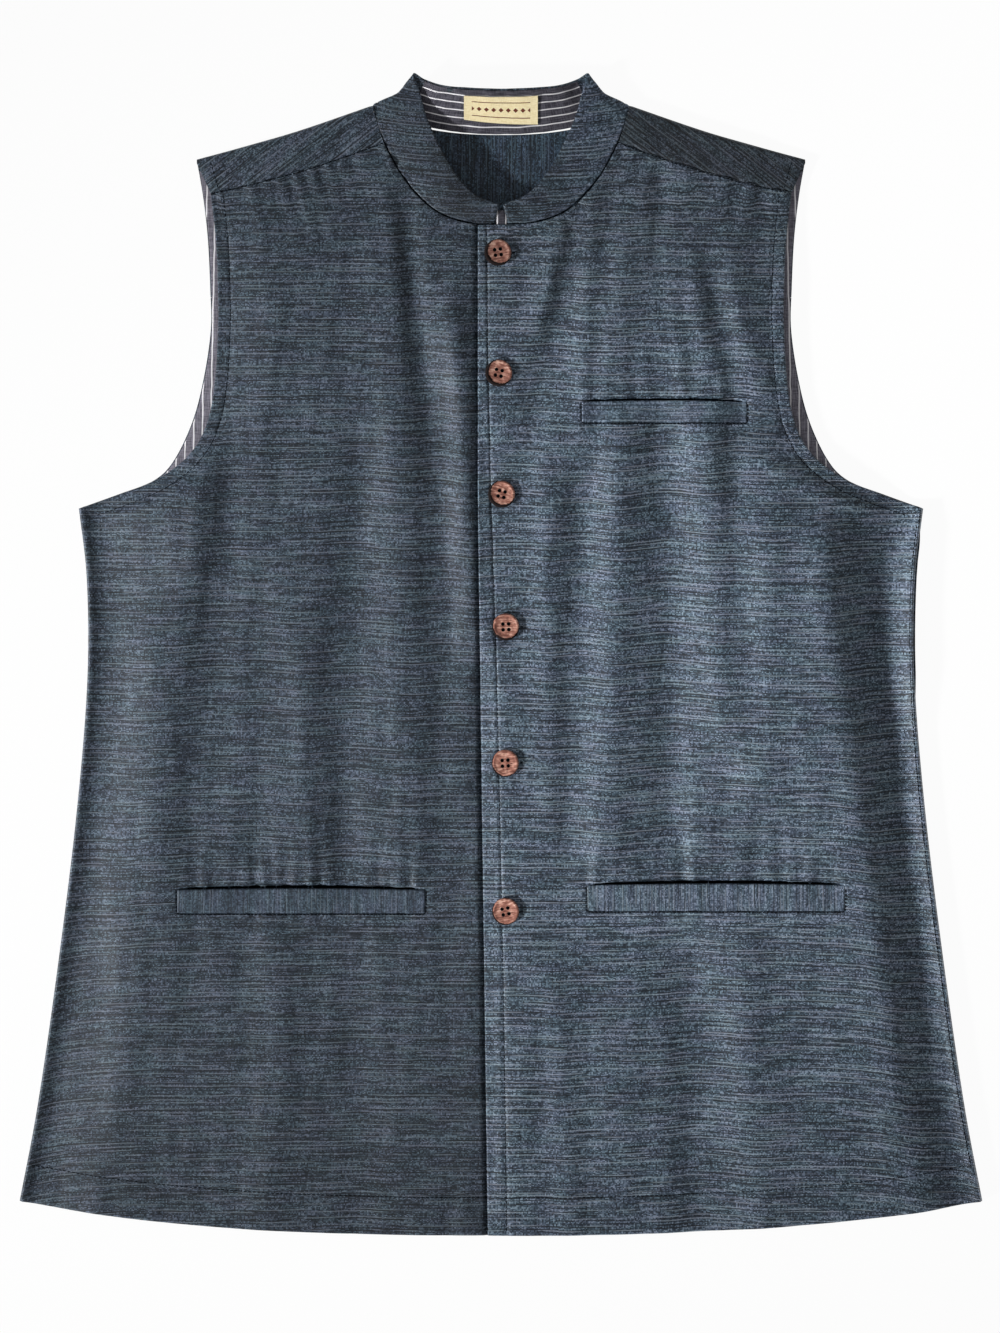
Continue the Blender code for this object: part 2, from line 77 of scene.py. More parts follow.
def distanceTo(line, x, y):
    # distance from each point to a line, and how far along the line that is
    best = np.full(x.shape, 1e9)
    along = np.zeros(x.shape)
    run = 0.0
    for a, b in zip(line[:-1], line[1:]):
        step = b - a
        length = float(np.hypot(*step))
        t = np.clip(((x - a[0]) * step[0] + (y - a[1]) * step[1]) / length ** 2, 0, 1)
        d = np.hypot(x - a[0] - t * step[0], y - a[1] - t * step[1])
        nearer = d < best
        best[nearer] = d[nearer]
        along[nearer] = run + t[nearer] * length
        run += length
    return best, along


def leftOf(line):
    # the direction to the left of a line, at each of its points
    ahead = np.gradient(line, axis=0)
    ahead /= np.linalg.norm(ahead, axis=1)[:, None]
    return np.stack([-ahead[:, 1], ahead[:, 0]], axis=1)


def ripple(along, size, seed):
    # uneven waves along a line, about 1 high
    rng = np.random.default_rng(seed)
    total = np.zeros(np.shape(along))
    for k in range(5):
        wave = size * rng.uniform(0.65, 1.7)
        total = total + np.sin(2 * math.pi * np.asarray(along) / wave + rng.uniform(0, 6.28))
    return total / 2.2


def undulation(x, y, sizeX, sizeY, seed):
    # gentle uneven waves over a surface, about 1 high
    rng = np.random.default_rng(seed)
    total = np.zeros(x.shape)
    for k in range(9):
        kx = 2 * math.pi / sizeX * rng.uniform(0.5, 1.6)
        ky = 2 * math.pi / sizeY * rng.uniform(-1.0, 1.0)
        total = total + np.sin(kx * x + ky * y + rng.uniform(0, 6.28))
    return total / 3.0


# the jacket's cut: points of each outline on the half with x above 0

cut = {
    "hemY": -383.0, "hemRise": 22.0, "hemCurve": 2.6, "hemHalf": 317.5,
    "yokeSeamY": 235.0, "neckHalf": 85.0, "backNeckY": 342.0, "seamSag": 3.0,
    "underEdge": 14.0, "overEdgeTop": 15.2, "overEdgeHem": 8.7, "edgeBendY": 100.0,
    "sideSeam": [(317.5, -361), (306, -300), (293.7, -216), (280.5, -110), (273, -20),
                 (273.2, 48), (278.5, 95.5)],
    "armholeLow": [(278.5, 95.5), (250, 105), (224, 116), (204, 132), (193, 153), (188, 183),
                   (186, 222)],
    "armholeHigh": [(186, 222), (187, 258), (189, 283), (191.5, 303.5)],
    "backArmhole": [(278.5, 95.5), (252, 105), (229, 114), (215.9, 127), (203.5, 153),
                    (196, 182), (191.4, 214), (191.8, 240), (193.4, 272), (196.5, 299),
                    (200.3, 321)],
    "neckline": [(0, 281.5), (20, 282.3), (33, 285.5), (43, 290.3), (53.5, 299), (63.5, 311),
                 (72, 325), (77.5, 336.5)],
    "shoulderFold": [(85, 361), (132, 344.8), (165, 335.2), (200.5, 325.6)],
}
cloth = {"front": 1.3, "back": 1.2, "collar": 1.2, "facing": 0.6, "label": 0.4, "welt": 0.9,
         "gap": 0.3}
loft = {
    "height": 12.0, "sideFlat": 4.0, "sideSlope": 58.0,
    "shoulderShare": 0.42, "shoulderReach": 110.0,
    "armholeShare": 0.5, "armholeReach": 42.0,
    "hemShare": 0.68, "hemReach": 120.0,
    "overlapLift": 2.1, "overlapReach": (18.0, 48.0),
}

sideLine = spline(cut["sideSeam"], 40)
armholeLine = np.vstack([spline(cut["armholeLow"], 36), spline(cut["armholeHigh"], 16)[1:]])
foldLine = spline(cut["shoulderFold"], 16)
backArmholeLine = spline(cut["backArmhole"], 80)


def hemY(x):
    return cut["hemY"] + cut["hemRise"] * (np.abs(x) / cut["hemHalf"]) ** cut["hemCurve"]


def overEdgeX(y):
    lean = np.clip((cut["edgeBendY"] - y) / (cut["edgeBendY"] - cut["hemY"]), 0, 1)
    return -(cut["overEdgeTop"] + (cut["overEdgeHem"] - cut["overEdgeTop"]) * lean)


def edgeStitchAt(y):
    # the front edge's stitching runs closer to the edge towards the neck
    return np.interp(y, [-320, -210, -12, 205, 280], [12.4, 12.3, 10.8, 6.4, 5.8])


def shoulderFoldY(x):
    return np.interp(np.abs(x), foldLine[:, 0], foldLine[:, 1])


# soft folds: top x, top y, low x, low y, half width, height
# a least-squares fit gave the places and widths of all but three rows, and the heights
# were changed a little afterwards
softFolds = [
    # from the neck seam and the right shoulder
    (-84, 280, -64, 110, 11, 1.0), (-74, 330, -65, 195, 7, 1.5), (-66, 318, -48, 140, 9, -2.2),
    (-42, 196, -28, -54, 12, -2.4), (-33, 238, -12, -4, 10, 3.2),
    # fanned below the left of the neck seam
    (42, 250, 19, 134, 12, -2.5), (44, 296, 24, 211, 8, 2.8), (60, 320, 51, 126, 8, 2.2),
    (86, 295, 69, 170, 13, 2.6), (94, 320, 106, 193, 7, 1.6), (101, 337, 105, 192, 9, -1.8),
    (106, 295, 118, 176, 7, 1.4), (117, 291, 139, 184, 7, 1.2), (143, 253, 160, 145, 10, -3.0),
    (145, 299, 156, 178, 8, 1.2), (150, 246, 177, 160, 9, 1.4),
    # right side and waist
    (-233, 24, -255, -200, 15, 2.6), (-196, 56, -210, -136, 18, -4.0),
    (-195, 165, -216, -142, 15, 3.0), (-176, 164, -186, -106, 11, -1.2),
    (-162, 55, -160, -147, 13, -2.0), (-130, 29, -129, -158, 13, 1.3),
    (-92, 158, -102, -147, 16, -2.4), (-68, 134, -63, -154, 17, 2.0),
    (-30, 139, -27, -51, 10, 2.0),
    # left front, from the chest to the pocket
    (28, 151, 34, -129, 9, 1.8), (40, 159, 46, -112, 12, 1.8), (54, 127, 41, -124, 14, -2.2),
    (78, 163, 71, -146, 15, 4.2), (108, 166, 112, -146, 12, -2.4), (134, 160, 146, -60, 14, 3.6),
    (152, 161, 165, -48, 11, -1.4), (166, 100, 171, -93, 18, 4.5),
    (183, 103, 198, -76, 21, 4.0), (198, 57, 211, -146, 15, 1.6),
    (207, 95, 286, -383, 17, 6.2),
    # below the pockets
    (-143, -167, -158, -383, 15, 1.2), (-94, -186, -96, -383, 17, -1.5),
    (34, -200, 46, -383, 10, 1.7), (98, -174, 101, -383, 11, -1.0),
    (121, -174, 131, -383, 18, -4.5), (142, -214, 153, -383, 14, -1.8),
    (182, -172, 201, -383, 15, -1.5), (205, -206, 235, -383, 19, -1.0),
]
foldFade = 45.0
foldPress = 1.22  # how much of each height the cloth holds after pressing


def foldHeight(x, y):
    total = np.zeros(x.shape)
    for topX, topY, lowX, lowY, half, height in softFolds:
        along = (topY - y) / (topY - lowY)
        off = (x - topX - (lowX - topX) * along) / half
        reach = smooth((topY + foldFade / 3 - y) / foldFade)
        if lowY > cut["hemY"]:
            reach = reach * smooth((y - lowY + foldFade / 2) / foldFade)
        total += foldPress * height * reach * np.exp(-off * off)
    return total


def loftShares(x, y):
    across = np.abs(x)
    underarmY = cut["sideSeam"][-1][1]
    outline = np.where(y < underarmY, np.interp(y, sideLine[:, 1], sideLine[:, 0]),
                       cut["sideSeam"][-1][0])
    side = smooth((outline - across - loft["sideFlat"]) / loft["sideSlope"])
    low = loft["shoulderShare"]
    shoulder = low + (1 - low) * smooth((shoulderFoldY(x) - y) / loft["shoulderReach"])
    armX = np.interp(y, armholeLine[:, 1], armholeLine[:, 0])
    near = smooth((armX - across) / loft["armholeReach"])
    near = np.maximum(near, 1 - smooth((y - underarmY) / loft["armholeReach"] + 0.45))
    low = loft["armholeShare"]
    armhole = np.where(y > underarmY, low + (1 - low) * near, 1.0)
    low = loft["hemShare"]
    hem = low + (1 - low) * smooth((y - hemY(x)) / loft["hemReach"])
    return side, shoulder, armhole, hem


def frontTop(x, y, over):
    side, shoulder, armhole, hem = loftShares(x, y)
    folds = foldHeight(x, y) * side * np.minimum(1.0, shoulder * armhole)
    seat = cloth["back"] + cloth["gap"] + cloth["front"]
    lift = 0.0
    if over:
        start, end = loft["overlapReach"]
        lift = loft["overlapLift"] * (1 - smooth((x - start) / (end - start)))
    return seat + loft["height"] * side * shoulder * armhole * hem + folds + lift


# materials

def linear(hexColour):
    parts = [int(hexColour[k:k + 2], 16) / 255 for k in (1, 3, 5)]
    flat = [c / 12.92 if c <= 0.04045 else ((c + 0.055) / 1.055) ** 2.4 for c in parts]
    return (*flat, 1.0)


def join(tree, source, socket):
    # a source is a socket, a node whose first output in use is meant, or a plain value
    if isinstance(source, bpy.types.Node):
        source = next(one for one in source.outputs if one.enabled)
    if isinstance(source, bpy.types.NodeSocket):
        tree.links.new(source, socket)
    else:
        socket.default_value = source


def addNode(tree, kind, settings=None):
    # settings name a property of the node, its ramp of colours, or an input and its source
    node = tree.nodes.new("ShaderNode" + kind)
    for key, value in (settings or {}).items():
        if key == "ramp":
            stops = node.color_ramp.elements
            while len(stops) < len(value):
                stops.new(0.5)
            for stop, (at, colour) in zip(stops, value):
                stop.position = at
                stop.color = linear(colour)
        elif isinstance(key, str) and hasattr(node, key):
            setattr(node, key, value)
        else:
            join(tree, value, node.inputs[key])
    return node


def feed(made, **sources):
    # sets or links inputs of a material's own shader
    shader = made.node_tree.nodes["Principled BSDF"]
    for key, source in sources.items():
        join(made.node_tree, source, shader.inputs[key.replace("_", " ")])


def newMaterial(name, roughness, specular, **sources):
    made = bpy.data.materials.new(name)
    made.use_nodes = True
    feed(made, Roughness=roughness, Specular_IOR_Level=specular, **sources)
    return made


def finished(made, colour, height, strength, depth):
    # the material with its colour, and its relief from a height
    relief = addNode(made.node_tree, "Bump", {"Strength": strength, "Distance": depth * mm,
                                              "Height": height})
    feed(made, Base_Color=colour, Normal=relief)
    return made


def clothPlace(tree):
    # the piece's own flat coordinates, in millimetres
    uv = addNode(tree, "UVMap", {"uv_map": "cloth"})
    return addNode(tree, "Mapping", {"Scale": (1000, 1000, 1000), "Vector": uv})


def layered(tree, place, layers, base=0.5):
    # base plus several noises: each is (length, width, weight, shift, detail), in millimetres
    total = base - sum(layer[2] for layer in layers) / 2
    for length, width, weight, shift, detail in layers:
        scaled = addNode(tree, "Mapping", {"Scale": (1 / length, 1 / width, 1),
                                           "Location": (shift, shift * 1.7, 0), "Vector": place})
        noise = addNode(tree, "TexNoise", {"noise_dimensions": "2D", "Scale": 1.0,
                                           "Detail": detail, "Vector": scaled})
        total = addNode(tree, "Math", {"operation": "MULTIPLY_ADD", 0: noise, 1: weight,
                                       2: total})
    return total


# handloom cotton-silk: a plain weave whose weft is slubbed, so thin dark and pale threads run
# across a blue-grey ground, and the finer warp breaks them into specks
slubWeave = {
    "roughness": 0.56, "specular": 0.38,  # silk gives the folds a soft shine
    # warp and weft crossings, drawn at about twice the real thread spacing: width, height, weight
    "crossings": [(0.9, 0.72, 0.72), (1.9, 1.3, 0.10)],
    # weft threads: pitch, length of a streak, weight, shift
    "threads": [(0.95, 44.0, 0.56, 3.0), (1.6, 90.0, 0.12, 11.0)],
    # bands and warp marks: length, width, weight, shift, detail
    "soft": [(90.0, 3.0, 0.10, 17.0, 0.0), (1.1, 5.0, 0.32, 7.7, 1.0),
             (7.0, 60.0, 0.10, 12.9, 1.0), (220.0, 16.0, 0.14, 9.1, 1.0)],
    # single slubs: pitch, thickness, length, shift, starts at, full at, strength, colour
    "slubs": [(2.1, 0.64, 44.0, 41.0, 0.43, 0.55, 0.80, "#141d27"),
              (3.5, 0.74, 26.0, 71.0, 0.49, 0.57, 0.88, "#0d141c"),
              (2.8, 0.70, 34.0, 53.0, 0.44, 0.58, 0.52, "#96a1ad")],
    # how the weft wanders up and down: length, width, height, shift, detail
    "wander": [(60.0, 90.0, 1.6, 3.1, 1.0), (16.0, 24.0, 0.6, 3.1, 1.0)],
    "ramp": [(0.08, "#151e29"), (0.34, "#2d3a47"), (0.5, "#425161"), (0.66, "#576879"),
             (0.92, "#8796a8")],
    # some yarns are dyed greener and some more violet
    "dyeing": [(22.0, 9.0, 1.0, 61.0, 1.0)],
    "dyes": [(0.34, "#f2faf6"), (0.5, "#ffffff"), (0.66, "#fbf4fa")],
    "relief": 0.4,
}


def threadNoise(tree, split, pitch, length, shift):
    # streaks along the weft, read far apart for neighbouring threads, so each has its own
    row = addNode(tree, "Math", {"operation": "MULTIPLY_ADD", 0: split.outputs[1], 1: 1 / pitch,
                                 2: shift})
    number = addNode(tree, "Math", {"operation": "FLOOR", 0: row})
    skip = addNode(tree, "Math", {"operation": "MULTIPLY", 0: number, 1: 7.31})
    along = addNode(tree, "Math", {"operation": "MULTIPLY_ADD", 0: split.outputs[0],
                                   1: 1 / length, 2: skip})
    across = addNode(tree, "Math", {"operation": "MULTIPLY", 0: number, 1: 3.77})
    at = addNode(tree, "CombineXYZ", {0: along, 1: across})
    noise = addNode(tree, "TexNoise", {"noise_dimensions": "2D", "Scale": 1.0, "Detail": 2.0,
                                       "Vector": at})
    return noise, row, number


def slubMask(tree, split, pitch, thickness, length, shift, start, full, strength):
    # one thin thread in each row, off the row's middle by a chance amount
    noise, row, number = threadNoise(tree, split, pitch, length, shift)
    shown = addNode(tree, "MapRange", {"interpolation_type": "SMOOTHSTEP", 0: noise, 1: start,
                                       2: full, 3: 0.0, 4: strength})
    chance = addNode(tree, "TexWhiteNoise", {"noise_dimensions": "1D", "W": number})
    middle = addNode(tree, "Math", {"operation": "MULTIPLY_ADD", 0: chance, 1: 0.5, 2: 0.25})
    part = addNode(tree, "Math", {"operation": "FRACT", 0: row})
    inside = addNode(tree, "Math", {"operation": "COMPARE", 0: part, 1: middle,
                                    2: thickness / pitch / 2})
    return addNode(tree, "Math", {"operation": "MULTIPLY", 0: inside, 1: shown})


def crossingNoise(tree, place, width, height):
    # one tone for each crossing of the threads
    scaled = addNode(tree, "Mapping", {"Scale": (1 / width, 1 / height, 1), "Vector": place})
    cell = addNode(tree, "VectorMath", {"operation": "FLOOR", 0: scaled})
    return addNode(tree, "TexWhiteNoise", {"noise_dimensions": "2D", "Vector": cell})


def paintShade(tree, colour, shadeStops, axis=0):
    # paints shade over a whole cloth by stops of (mm, colour) along an axis of the jacket
    reach = 400.0
    where = addNode(tree, "TexCoord")
    split = addNode(tree, "SeparateXYZ", {0: where.outputs["Object"]})
    share = addNode(tree, "MapRange", {0: split.outputs[axis], 1: -reach * mm, 2: reach * mm})
    stops = [(0.5 + at / reach / 2, shade) for at, shade in shadeStops]
    shade = addNode(tree, "ValToRGB", {"ramp": stops, 0: share})
    return addNode(tree, "Mix", {"data_type": "RGBA", "blend_type": "MULTIPLY", 0: 1.0,
                                 6: colour, 7: shade})


def slubCloth(name, shadeStops=None, axis=0, contrast=1.0, level=0.5):
    weave = slubWeave
    made = newMaterial(name, weave["roughness"], weave["specular"])
    tree = made.node_tree
    place = clothPlace(tree)
    drift = layered(tree, place, weave["wander"], 0.0)
    lift = addNode(tree, "CombineXYZ", {1: drift})
    place = addNode(tree, "VectorMath", {"operation": "ADD", 0: place, 1: lift})
    split = addNode(tree, "SeparateXYZ", {0: place})
    parts = [(crossingNoise(tree, place, width, height), weight * contrast)
             for width, height, weight in weave["crossings"]]
    parts += [(threadNoise(tree, split, pitch, length, shift)[0], weight * contrast)
              for pitch, length, weight, shift in weave["threads"]]
    value = layered(tree, place, weave["soft"], level - sum(part[1] for part in parts) / 2)
    for noise, weight in parts:
        value = addNode(tree, "Math", {"operation": "MULTIPLY_ADD", 0: noise, 1: weight,
                                       2: value})
    colour = addNode(tree, "ValToRGB", {"ramp": weave["ramp"], 0: value})
    for *slub, strength, tint in weave["slubs"]:
        mask = slubMask(tree, split, *slub, strength * contrast)
        colour = addNode(tree, "Mix", {"data_type": "RGBA", 0: mask, 6: colour, 7: linear(tint)})
    dyeing = layered(tree, place, weave["dyeing"])
    dye = addNode(tree, "ValToRGB", {"ramp": weave["dyes"], 0: dyeing})
    colour = addNode(tree, "Mix", {"data_type": "RGBA", "blend_type": "MULTIPLY", 0: 1.0,
                                   6: colour, 7: dye})
    if shadeStops:
        colour = paintShade(tree, colour, shadeStops, axis)
    return finished(made, colour, value, 0.5, weave["relief"])


# yarn-dyed striped poplin: a close plain weave, so a flat grey chambray ground with single
# crisp white stripes
stripeWeave = {
    "pitch": 5.6, "line": 0.85, "edge": 0.10, "stripe": "#f2f0f4",
    "yarns": [(9.0, 0.7, 1.3, 1.0, 2.0), (0.8, 7.0, 0.9, 4.0, 1.0)],
    "waver": [(12.0, 50.0, 0.7, 8.0, 1.0)],
    "relief": 0.3,
}


def stripedCloth(name, ground, shadeStops=None):
    weave = stripeWeave
    made = newMaterial(name, 0.8, 0.2, Sheen_Weight=0.05)
    tree = made.node_tree
    place = clothPlace(tree)
    value = layered(tree, place, weave["yarns"])
    colour = addNode(tree, "ValToRGB", {"ramp": ground, 0: value})
    split = addNode(tree, "SeparateXYZ", {0: place})
    waver = layered(tree, place, weave["waver"], 0.0)
    run = addNode(tree, "Math", {"operation": "ADD", 0: split.outputs[1], 1: waver})
    fold = addNode(tree, "Math", {"operation": "PINGPONG", 0: run, 1: weave["pitch"] / 2})
    half, edge = weave["line"] / 2, weave["edge"]
    mask = addNode(tree, "MapRange", {"interpolation_type": "SMOOTHSTEP", 0: fold,
                                      1: half - edge, 2: half + edge, 3: 1.0, 4: 0.0})
    colour = addNode(tree, "Mix", {"data_type": "RGBA", 0: mask, 6: colour,
                                   7: linear(weave["stripe"])})
    if shadeStops:
        colour = paintShade(tree, colour, shadeStops)
    return finished(made, colour, value, 0.3, weave["relief"])


# woven polyester satin: long floats give a smooth cream face with a soft shine, and a plain
# geometric border is woven into it in brown
labelWeave = {
    "ground": [(0.2, "#e9d7a5"), (0.75, "#f9ebc3")], "motif": "#6a3524",
    "height": 19.5, "diamondPitch": 4.8, "diamondHalf": 1.7, "lineOff": 5.4, "lineHalf": 0.32,
    "motifHalf": 19.2,
    "yarns": [(4.0, 0.5, 1.2, 0.0, 1.0), (0.5, 3.0, 0.8, 6.0, 1.0)],
    "relief": 0.2,
}


def labelCloth(name):
    weave = labelWeave
    made = newMaterial(name, 0.5, 0.3)
    tree = made.node_tree
    place = clothPlace(tree)
    value = layered(tree, place, weave["yarns"])
    ground = addNode(tree, "ValToRGB", {"ramp": weave["ground"], 0: value})
    split = addNode(tree, "SeparateXYZ", {0: place})
    # a row of small diamonds between two thin lines, none of it near the ends
    across = addNode(tree, "Math", {"operation": "PINGPONG", 0: split.outputs[0],
                                    1: weave["diamondPitch"] / 2})
    out = addNode(tree, "Math", {"operation": "ABSOLUTE", 0: split.outputs[0]})
    up = addNode(tree, "Math", {"operation": "ABSOLUTE", 0: split.outputs[1]})
    total = addNode(tree, "Math", {"operation": "ADD", 0: across, 1: up})
    diamond = addNode(tree, "Math", {"operation": "LESS_THAN", 0: total,
                                     1: weave["diamondHalf"]})
    line = addNode(tree, "Math", {"operation": "COMPARE", 0: up, 1: weave["lineOff"],
                                  2: weave["lineHalf"]})
    both = addNode(tree, "Math", {"operation": "MAXIMUM", 0: diamond, 1: line})
    inside = addNode(tree, "Math", {"operation": "LESS_THAN", 0: out, 1: weave["motifHalf"]})
    shown = addNode(tree, "Math", {"operation": "MULTIPLY", 0: both, 1: inside})
    colour = addNode(tree, "Mix", {"data_type": "RGBA", 0: shown, 6: ground,
                                   7: linear(weave["motif"])})
    return finished(made, colour, value, 0.25, weave["relief"])


# turned and waxed coconut shell: hard and close grained, so a low soft shine over pinkish
# brown with short dark flecks, and a burnt rim that is nearly black and matt, which is
# widened with painted shadow on its low side
shellLook = {
    "roughness": 0.42, "burntAndShadowRoughness": 1.0,
    "ramp": [(0.15, "#7a4c41"), (0.42, "#9c695a"), (0.62, "#b58070"), (0.9, "#dbb19e")],
    "grain": [(5.0, 1.1, 1.5, 0.0, 2.0), (3.5, 3.5, 1.0, 4.0, 1.0)],
    "flecks": [(2.6, 0.5, 1.0, 8.0, 1.0)], "fleck": "#3a1712", "burnt": "#120706",
    "relief": 0.2,
}


def coconutShell(name):
    look = shellLook
    made = newMaterial(name, look["roughness"], 0.36)
    tree = made.node_tree
    place = clothPlace(tree)
    value = layered(tree, place, look["grain"])
    colour = addNode(tree, "ValToRGB", {"ramp": look["ramp"], 0: value})
    flecks = layered(tree, place, look["flecks"])
    mask = addNode(tree, "MapRange", {0: flecks, 1: 0.6, 2: 0.72, 3: 0.0, 4: 0.7})
    colour = addNode(tree, "Mix", {"data_type": "RGBA", 0: mask, 6: colour,
                                   7: linear(look["fleck"])})
    # the burnt rim and walls carry painted shadow too, widest on the rim's low side
    burnt = addNode(tree, "Attribute", {"attribute_name": "burnt"}).outputs["Fac"]
    colour = addNode(tree, "Mix", {"data_type": "RGBA", 0: burnt, 6: colour,
                                   7: linear(look["burnt"])})
    matt = addNode(tree, "MapRange", {0: burnt, 3: look["roughness"], 4: look["burntAndShadowRoughness"]})
    feed(made, Roughness=matt)
    return finished(made, colour, value, 0.2, look["relief"])


# spun polyester sewing thread: a matt hairy twist, seen as dark dashes
def sewingThread(name, colour):
    made = newMaterial(name, 0.8, 0.1)
    tree = made.node_tree
    where = addNode(tree, "TexCoord")
    twist = addNode(tree, "TexNoise", {"Scale": 2500.0, "Detail": 1.0,
                                       "Vector": where.outputs["Object"]})
    shade = addNode(tree, "Mix", {"data_type": "RGBA", "blend_type": "MULTIPLY", 0: 0.5,
                                  6: linear(colour), 7: twist})
    feed(made, Base_Color=shade)
    return made


jacketCloth = slubCloth("slub cotton-silk, handwoven")
# painted shade: the left front darkens towards its top, the right front is darker all over and
# more so towards the hem, the shoulders darken towards +x and the collar is darkest left of its
# middle and palest at +x, each for how the light falls on it
leftSilk = slubCloth("slub cotton-silk, left front", axis=1, shadeStops=[
    (200, "#ffffff"), (250, "#e9e9e9"), (310, "#dadada")])
rightSilk = slubCloth("slub cotton-silk, right front", axis=1, shadeStops=[
    (-330, "#b8babc"), (-200, "#bfc1c3"), (-140, "#c9cbcd")])
shoulderSilk = slubCloth("slub cotton-silk, shoulders", shadeStops=[(-80, "#cbccce"), (80, "#969798")])
collarSilk = slubCloth("slub cotton-silk, collar", shadeStops=[
    (-50, "#b6b9bc"), (-28, "#888b8e"), (0, "#aaadb0"), (36, "#c0c3c6"), (58, "#ecedf0")])
# the inside is the duller face, and it is painted darker still for the shade inside the neck
innerCloth = slubCloth("slub cotton-silk, inside", shadeStops=[(-200, "#98aab5"), (200, "#98aab5")])
# the welts are cut small and pressed hard, so their slubs show less
weltSilk = slubCloth("slub cotton-silk, welts", contrast=0.75, level=0.555)
# the welt on the right front is painted with the same shade as that front
shadedWelt = slubCloth("slub cotton-silk, welt with painted shade", contrast=0.6,
                       shadeStops=[(-200, "#d4d6d8"), (-50, "#d4d6d8")])
# the neck facing and loop are a darker copy of the striped poplin, painted shade for their place
# in the collar, and painted darker from x -40 mm to the middle
neckStripe = stripedCloth("striped poplin, yarn dyed", [(0.2, "#34333c"), (0.8, "#605e68")],
                          shadeStops=[(-40, "#ffffff"), (0, "#e2e2e2"), (40, "#e2e2e2")])
# the armhole facings are a paler copy of the same poplin, painted light for where the light falls
# on them
armholeStripe = stripedCloth("striped poplin, yarn dyed, painted paler",
                             [(0.2, "#57555f"), (0.8, "#8e8b97")])
# close cotton twill for the pocket bags: matt, and painted nearly black as the shade in the mouth
# of a pocket
pocketShadeTwill = sewingThread("cotton twill, pocket bag painted black as shade", "#07090d")
satinLabel = labelCloth("polyester satin, woven label")
buttonShell = coconutShell("coconut shell, turned and waxed")
navyThread = sewingThread("polyester thread, navy", "#0b1018")
print("materials made")


# cloth shells

def addObject(name, mesh, *materials):
    for one in materials:
        mesh.materials.append(one)
    made = bpy.data.objects.new(name, mesh)
    bpy.context.scene.collection.objects.link(made)
    return made


def meshOf(bm, name):
    mesh = bpy.data.meshes.new(name)
    bm.to_mesh(mesh)
    bm.free()
    return mesh


def applied(made):
    # the object's mesh as its modifiers leave it
    graph = bpy.context.evaluated_depsgraph_get()
    mesh = bpy.data.meshes.new_from_object(made.evaluated_get(graph))
    old = made.data
    made.modifiers.clear()
    made.data = mesh
    mesh.name = made.name
    bpy.data.meshes.remove(old)
    mesh.shade_smooth()
    mesh.set_sharp_from_angle(angle=math.radians(50))
    return made


def clothShell(name, columns, rows, place, thickness, materials, flip=False, keep=None):
    # a grid that place(i, j) lays out: points in mm, cloth coordinates in mm and the share
    # of the thickness at each, the last of which may be None
    bm = bmesh.new()
    bmesh.ops.create_grid(bm, x_segments=columns, y_segments=rows, size=1.0)
    co = np.array([v.co[:2] for v in bm.verts])
    i = np.rint((co[:, 0] + 1) / 2 * columns).astype(int)
    j = np.rint((co[:, 1] + 1) / 2 * rows).astype(int)
    points, flat, thin = place(i, j)
    layer = bm.loops.layers.uv.new("cloth")
    for face in bm.faces:
        for loop in face.loops:
            loop[layer].uv = flat[loop.vert.index] * mm
    for vert, point in zip(bm.verts, points):
        vert.co = point * mm
    if keep is not None:
        dropped = []
        for face in bm.faces:
            corner = [v.index for v in face.verts]
            if not keep(i[corner].min(), j[corner].min()):
                dropped.append(face)
        bmesh.ops.delete(bm, geom=dropped, context="FACES")
    if flip:
        bmesh.ops.reverse_faces(bm, faces=bm.faces[:])
    indices = [v.index for v in bm.verts]
    made = addObject(name, meshOf(bm, name), *materials)
    wall = made.modifiers.new("Cloth", "SOLIDIFY")
    wall.thickness = thickness * mm
    wall.offset = -1.0
    wall.use_even_offset = True
    wall.material_offset = len(materials) - 1
    if thin is not None:
        group = made.vertex_groups.new(name="thin")
        kept = thin[indices] if keep is not None else thin
        for number, share in enumerate(kept):
            group.add([number], float(share), "REPLACE")
        wall.vertex_group = "thin"
    return applied(made)


def roll(distance, radius, drop):
    # how far a folded edge turns down, this far in from it
    t = 1 - np.clip(distance / radius, 0, 1)
    return -drop * (1 - np.sqrt(np.clip(1 - t * t, 0, 1)))


def groove(distance, width, depth):
    return -depth * np.exp(-(distance / width) ** 2)


def seamRipple(distance, along, height, wave, middle, reach, seed):
    # cloth drawn up in waves along a row of stitches, most at middle and fading within reach
    return height * ripple(along, wave, seed) * np.exp(-((distance - middle) / reach) ** 2)


def steps(fine, count, total):
    # shares from 0 to 1 with fine steps (in mm) at each end
    start, end = np.array(fine[0]) / total, 1 - np.array(fine[1][::-1]) / total
    middle = np.linspace(start[-1], end[0], count + 1)[1:-1]
    return np.concatenate([start, middle, end])


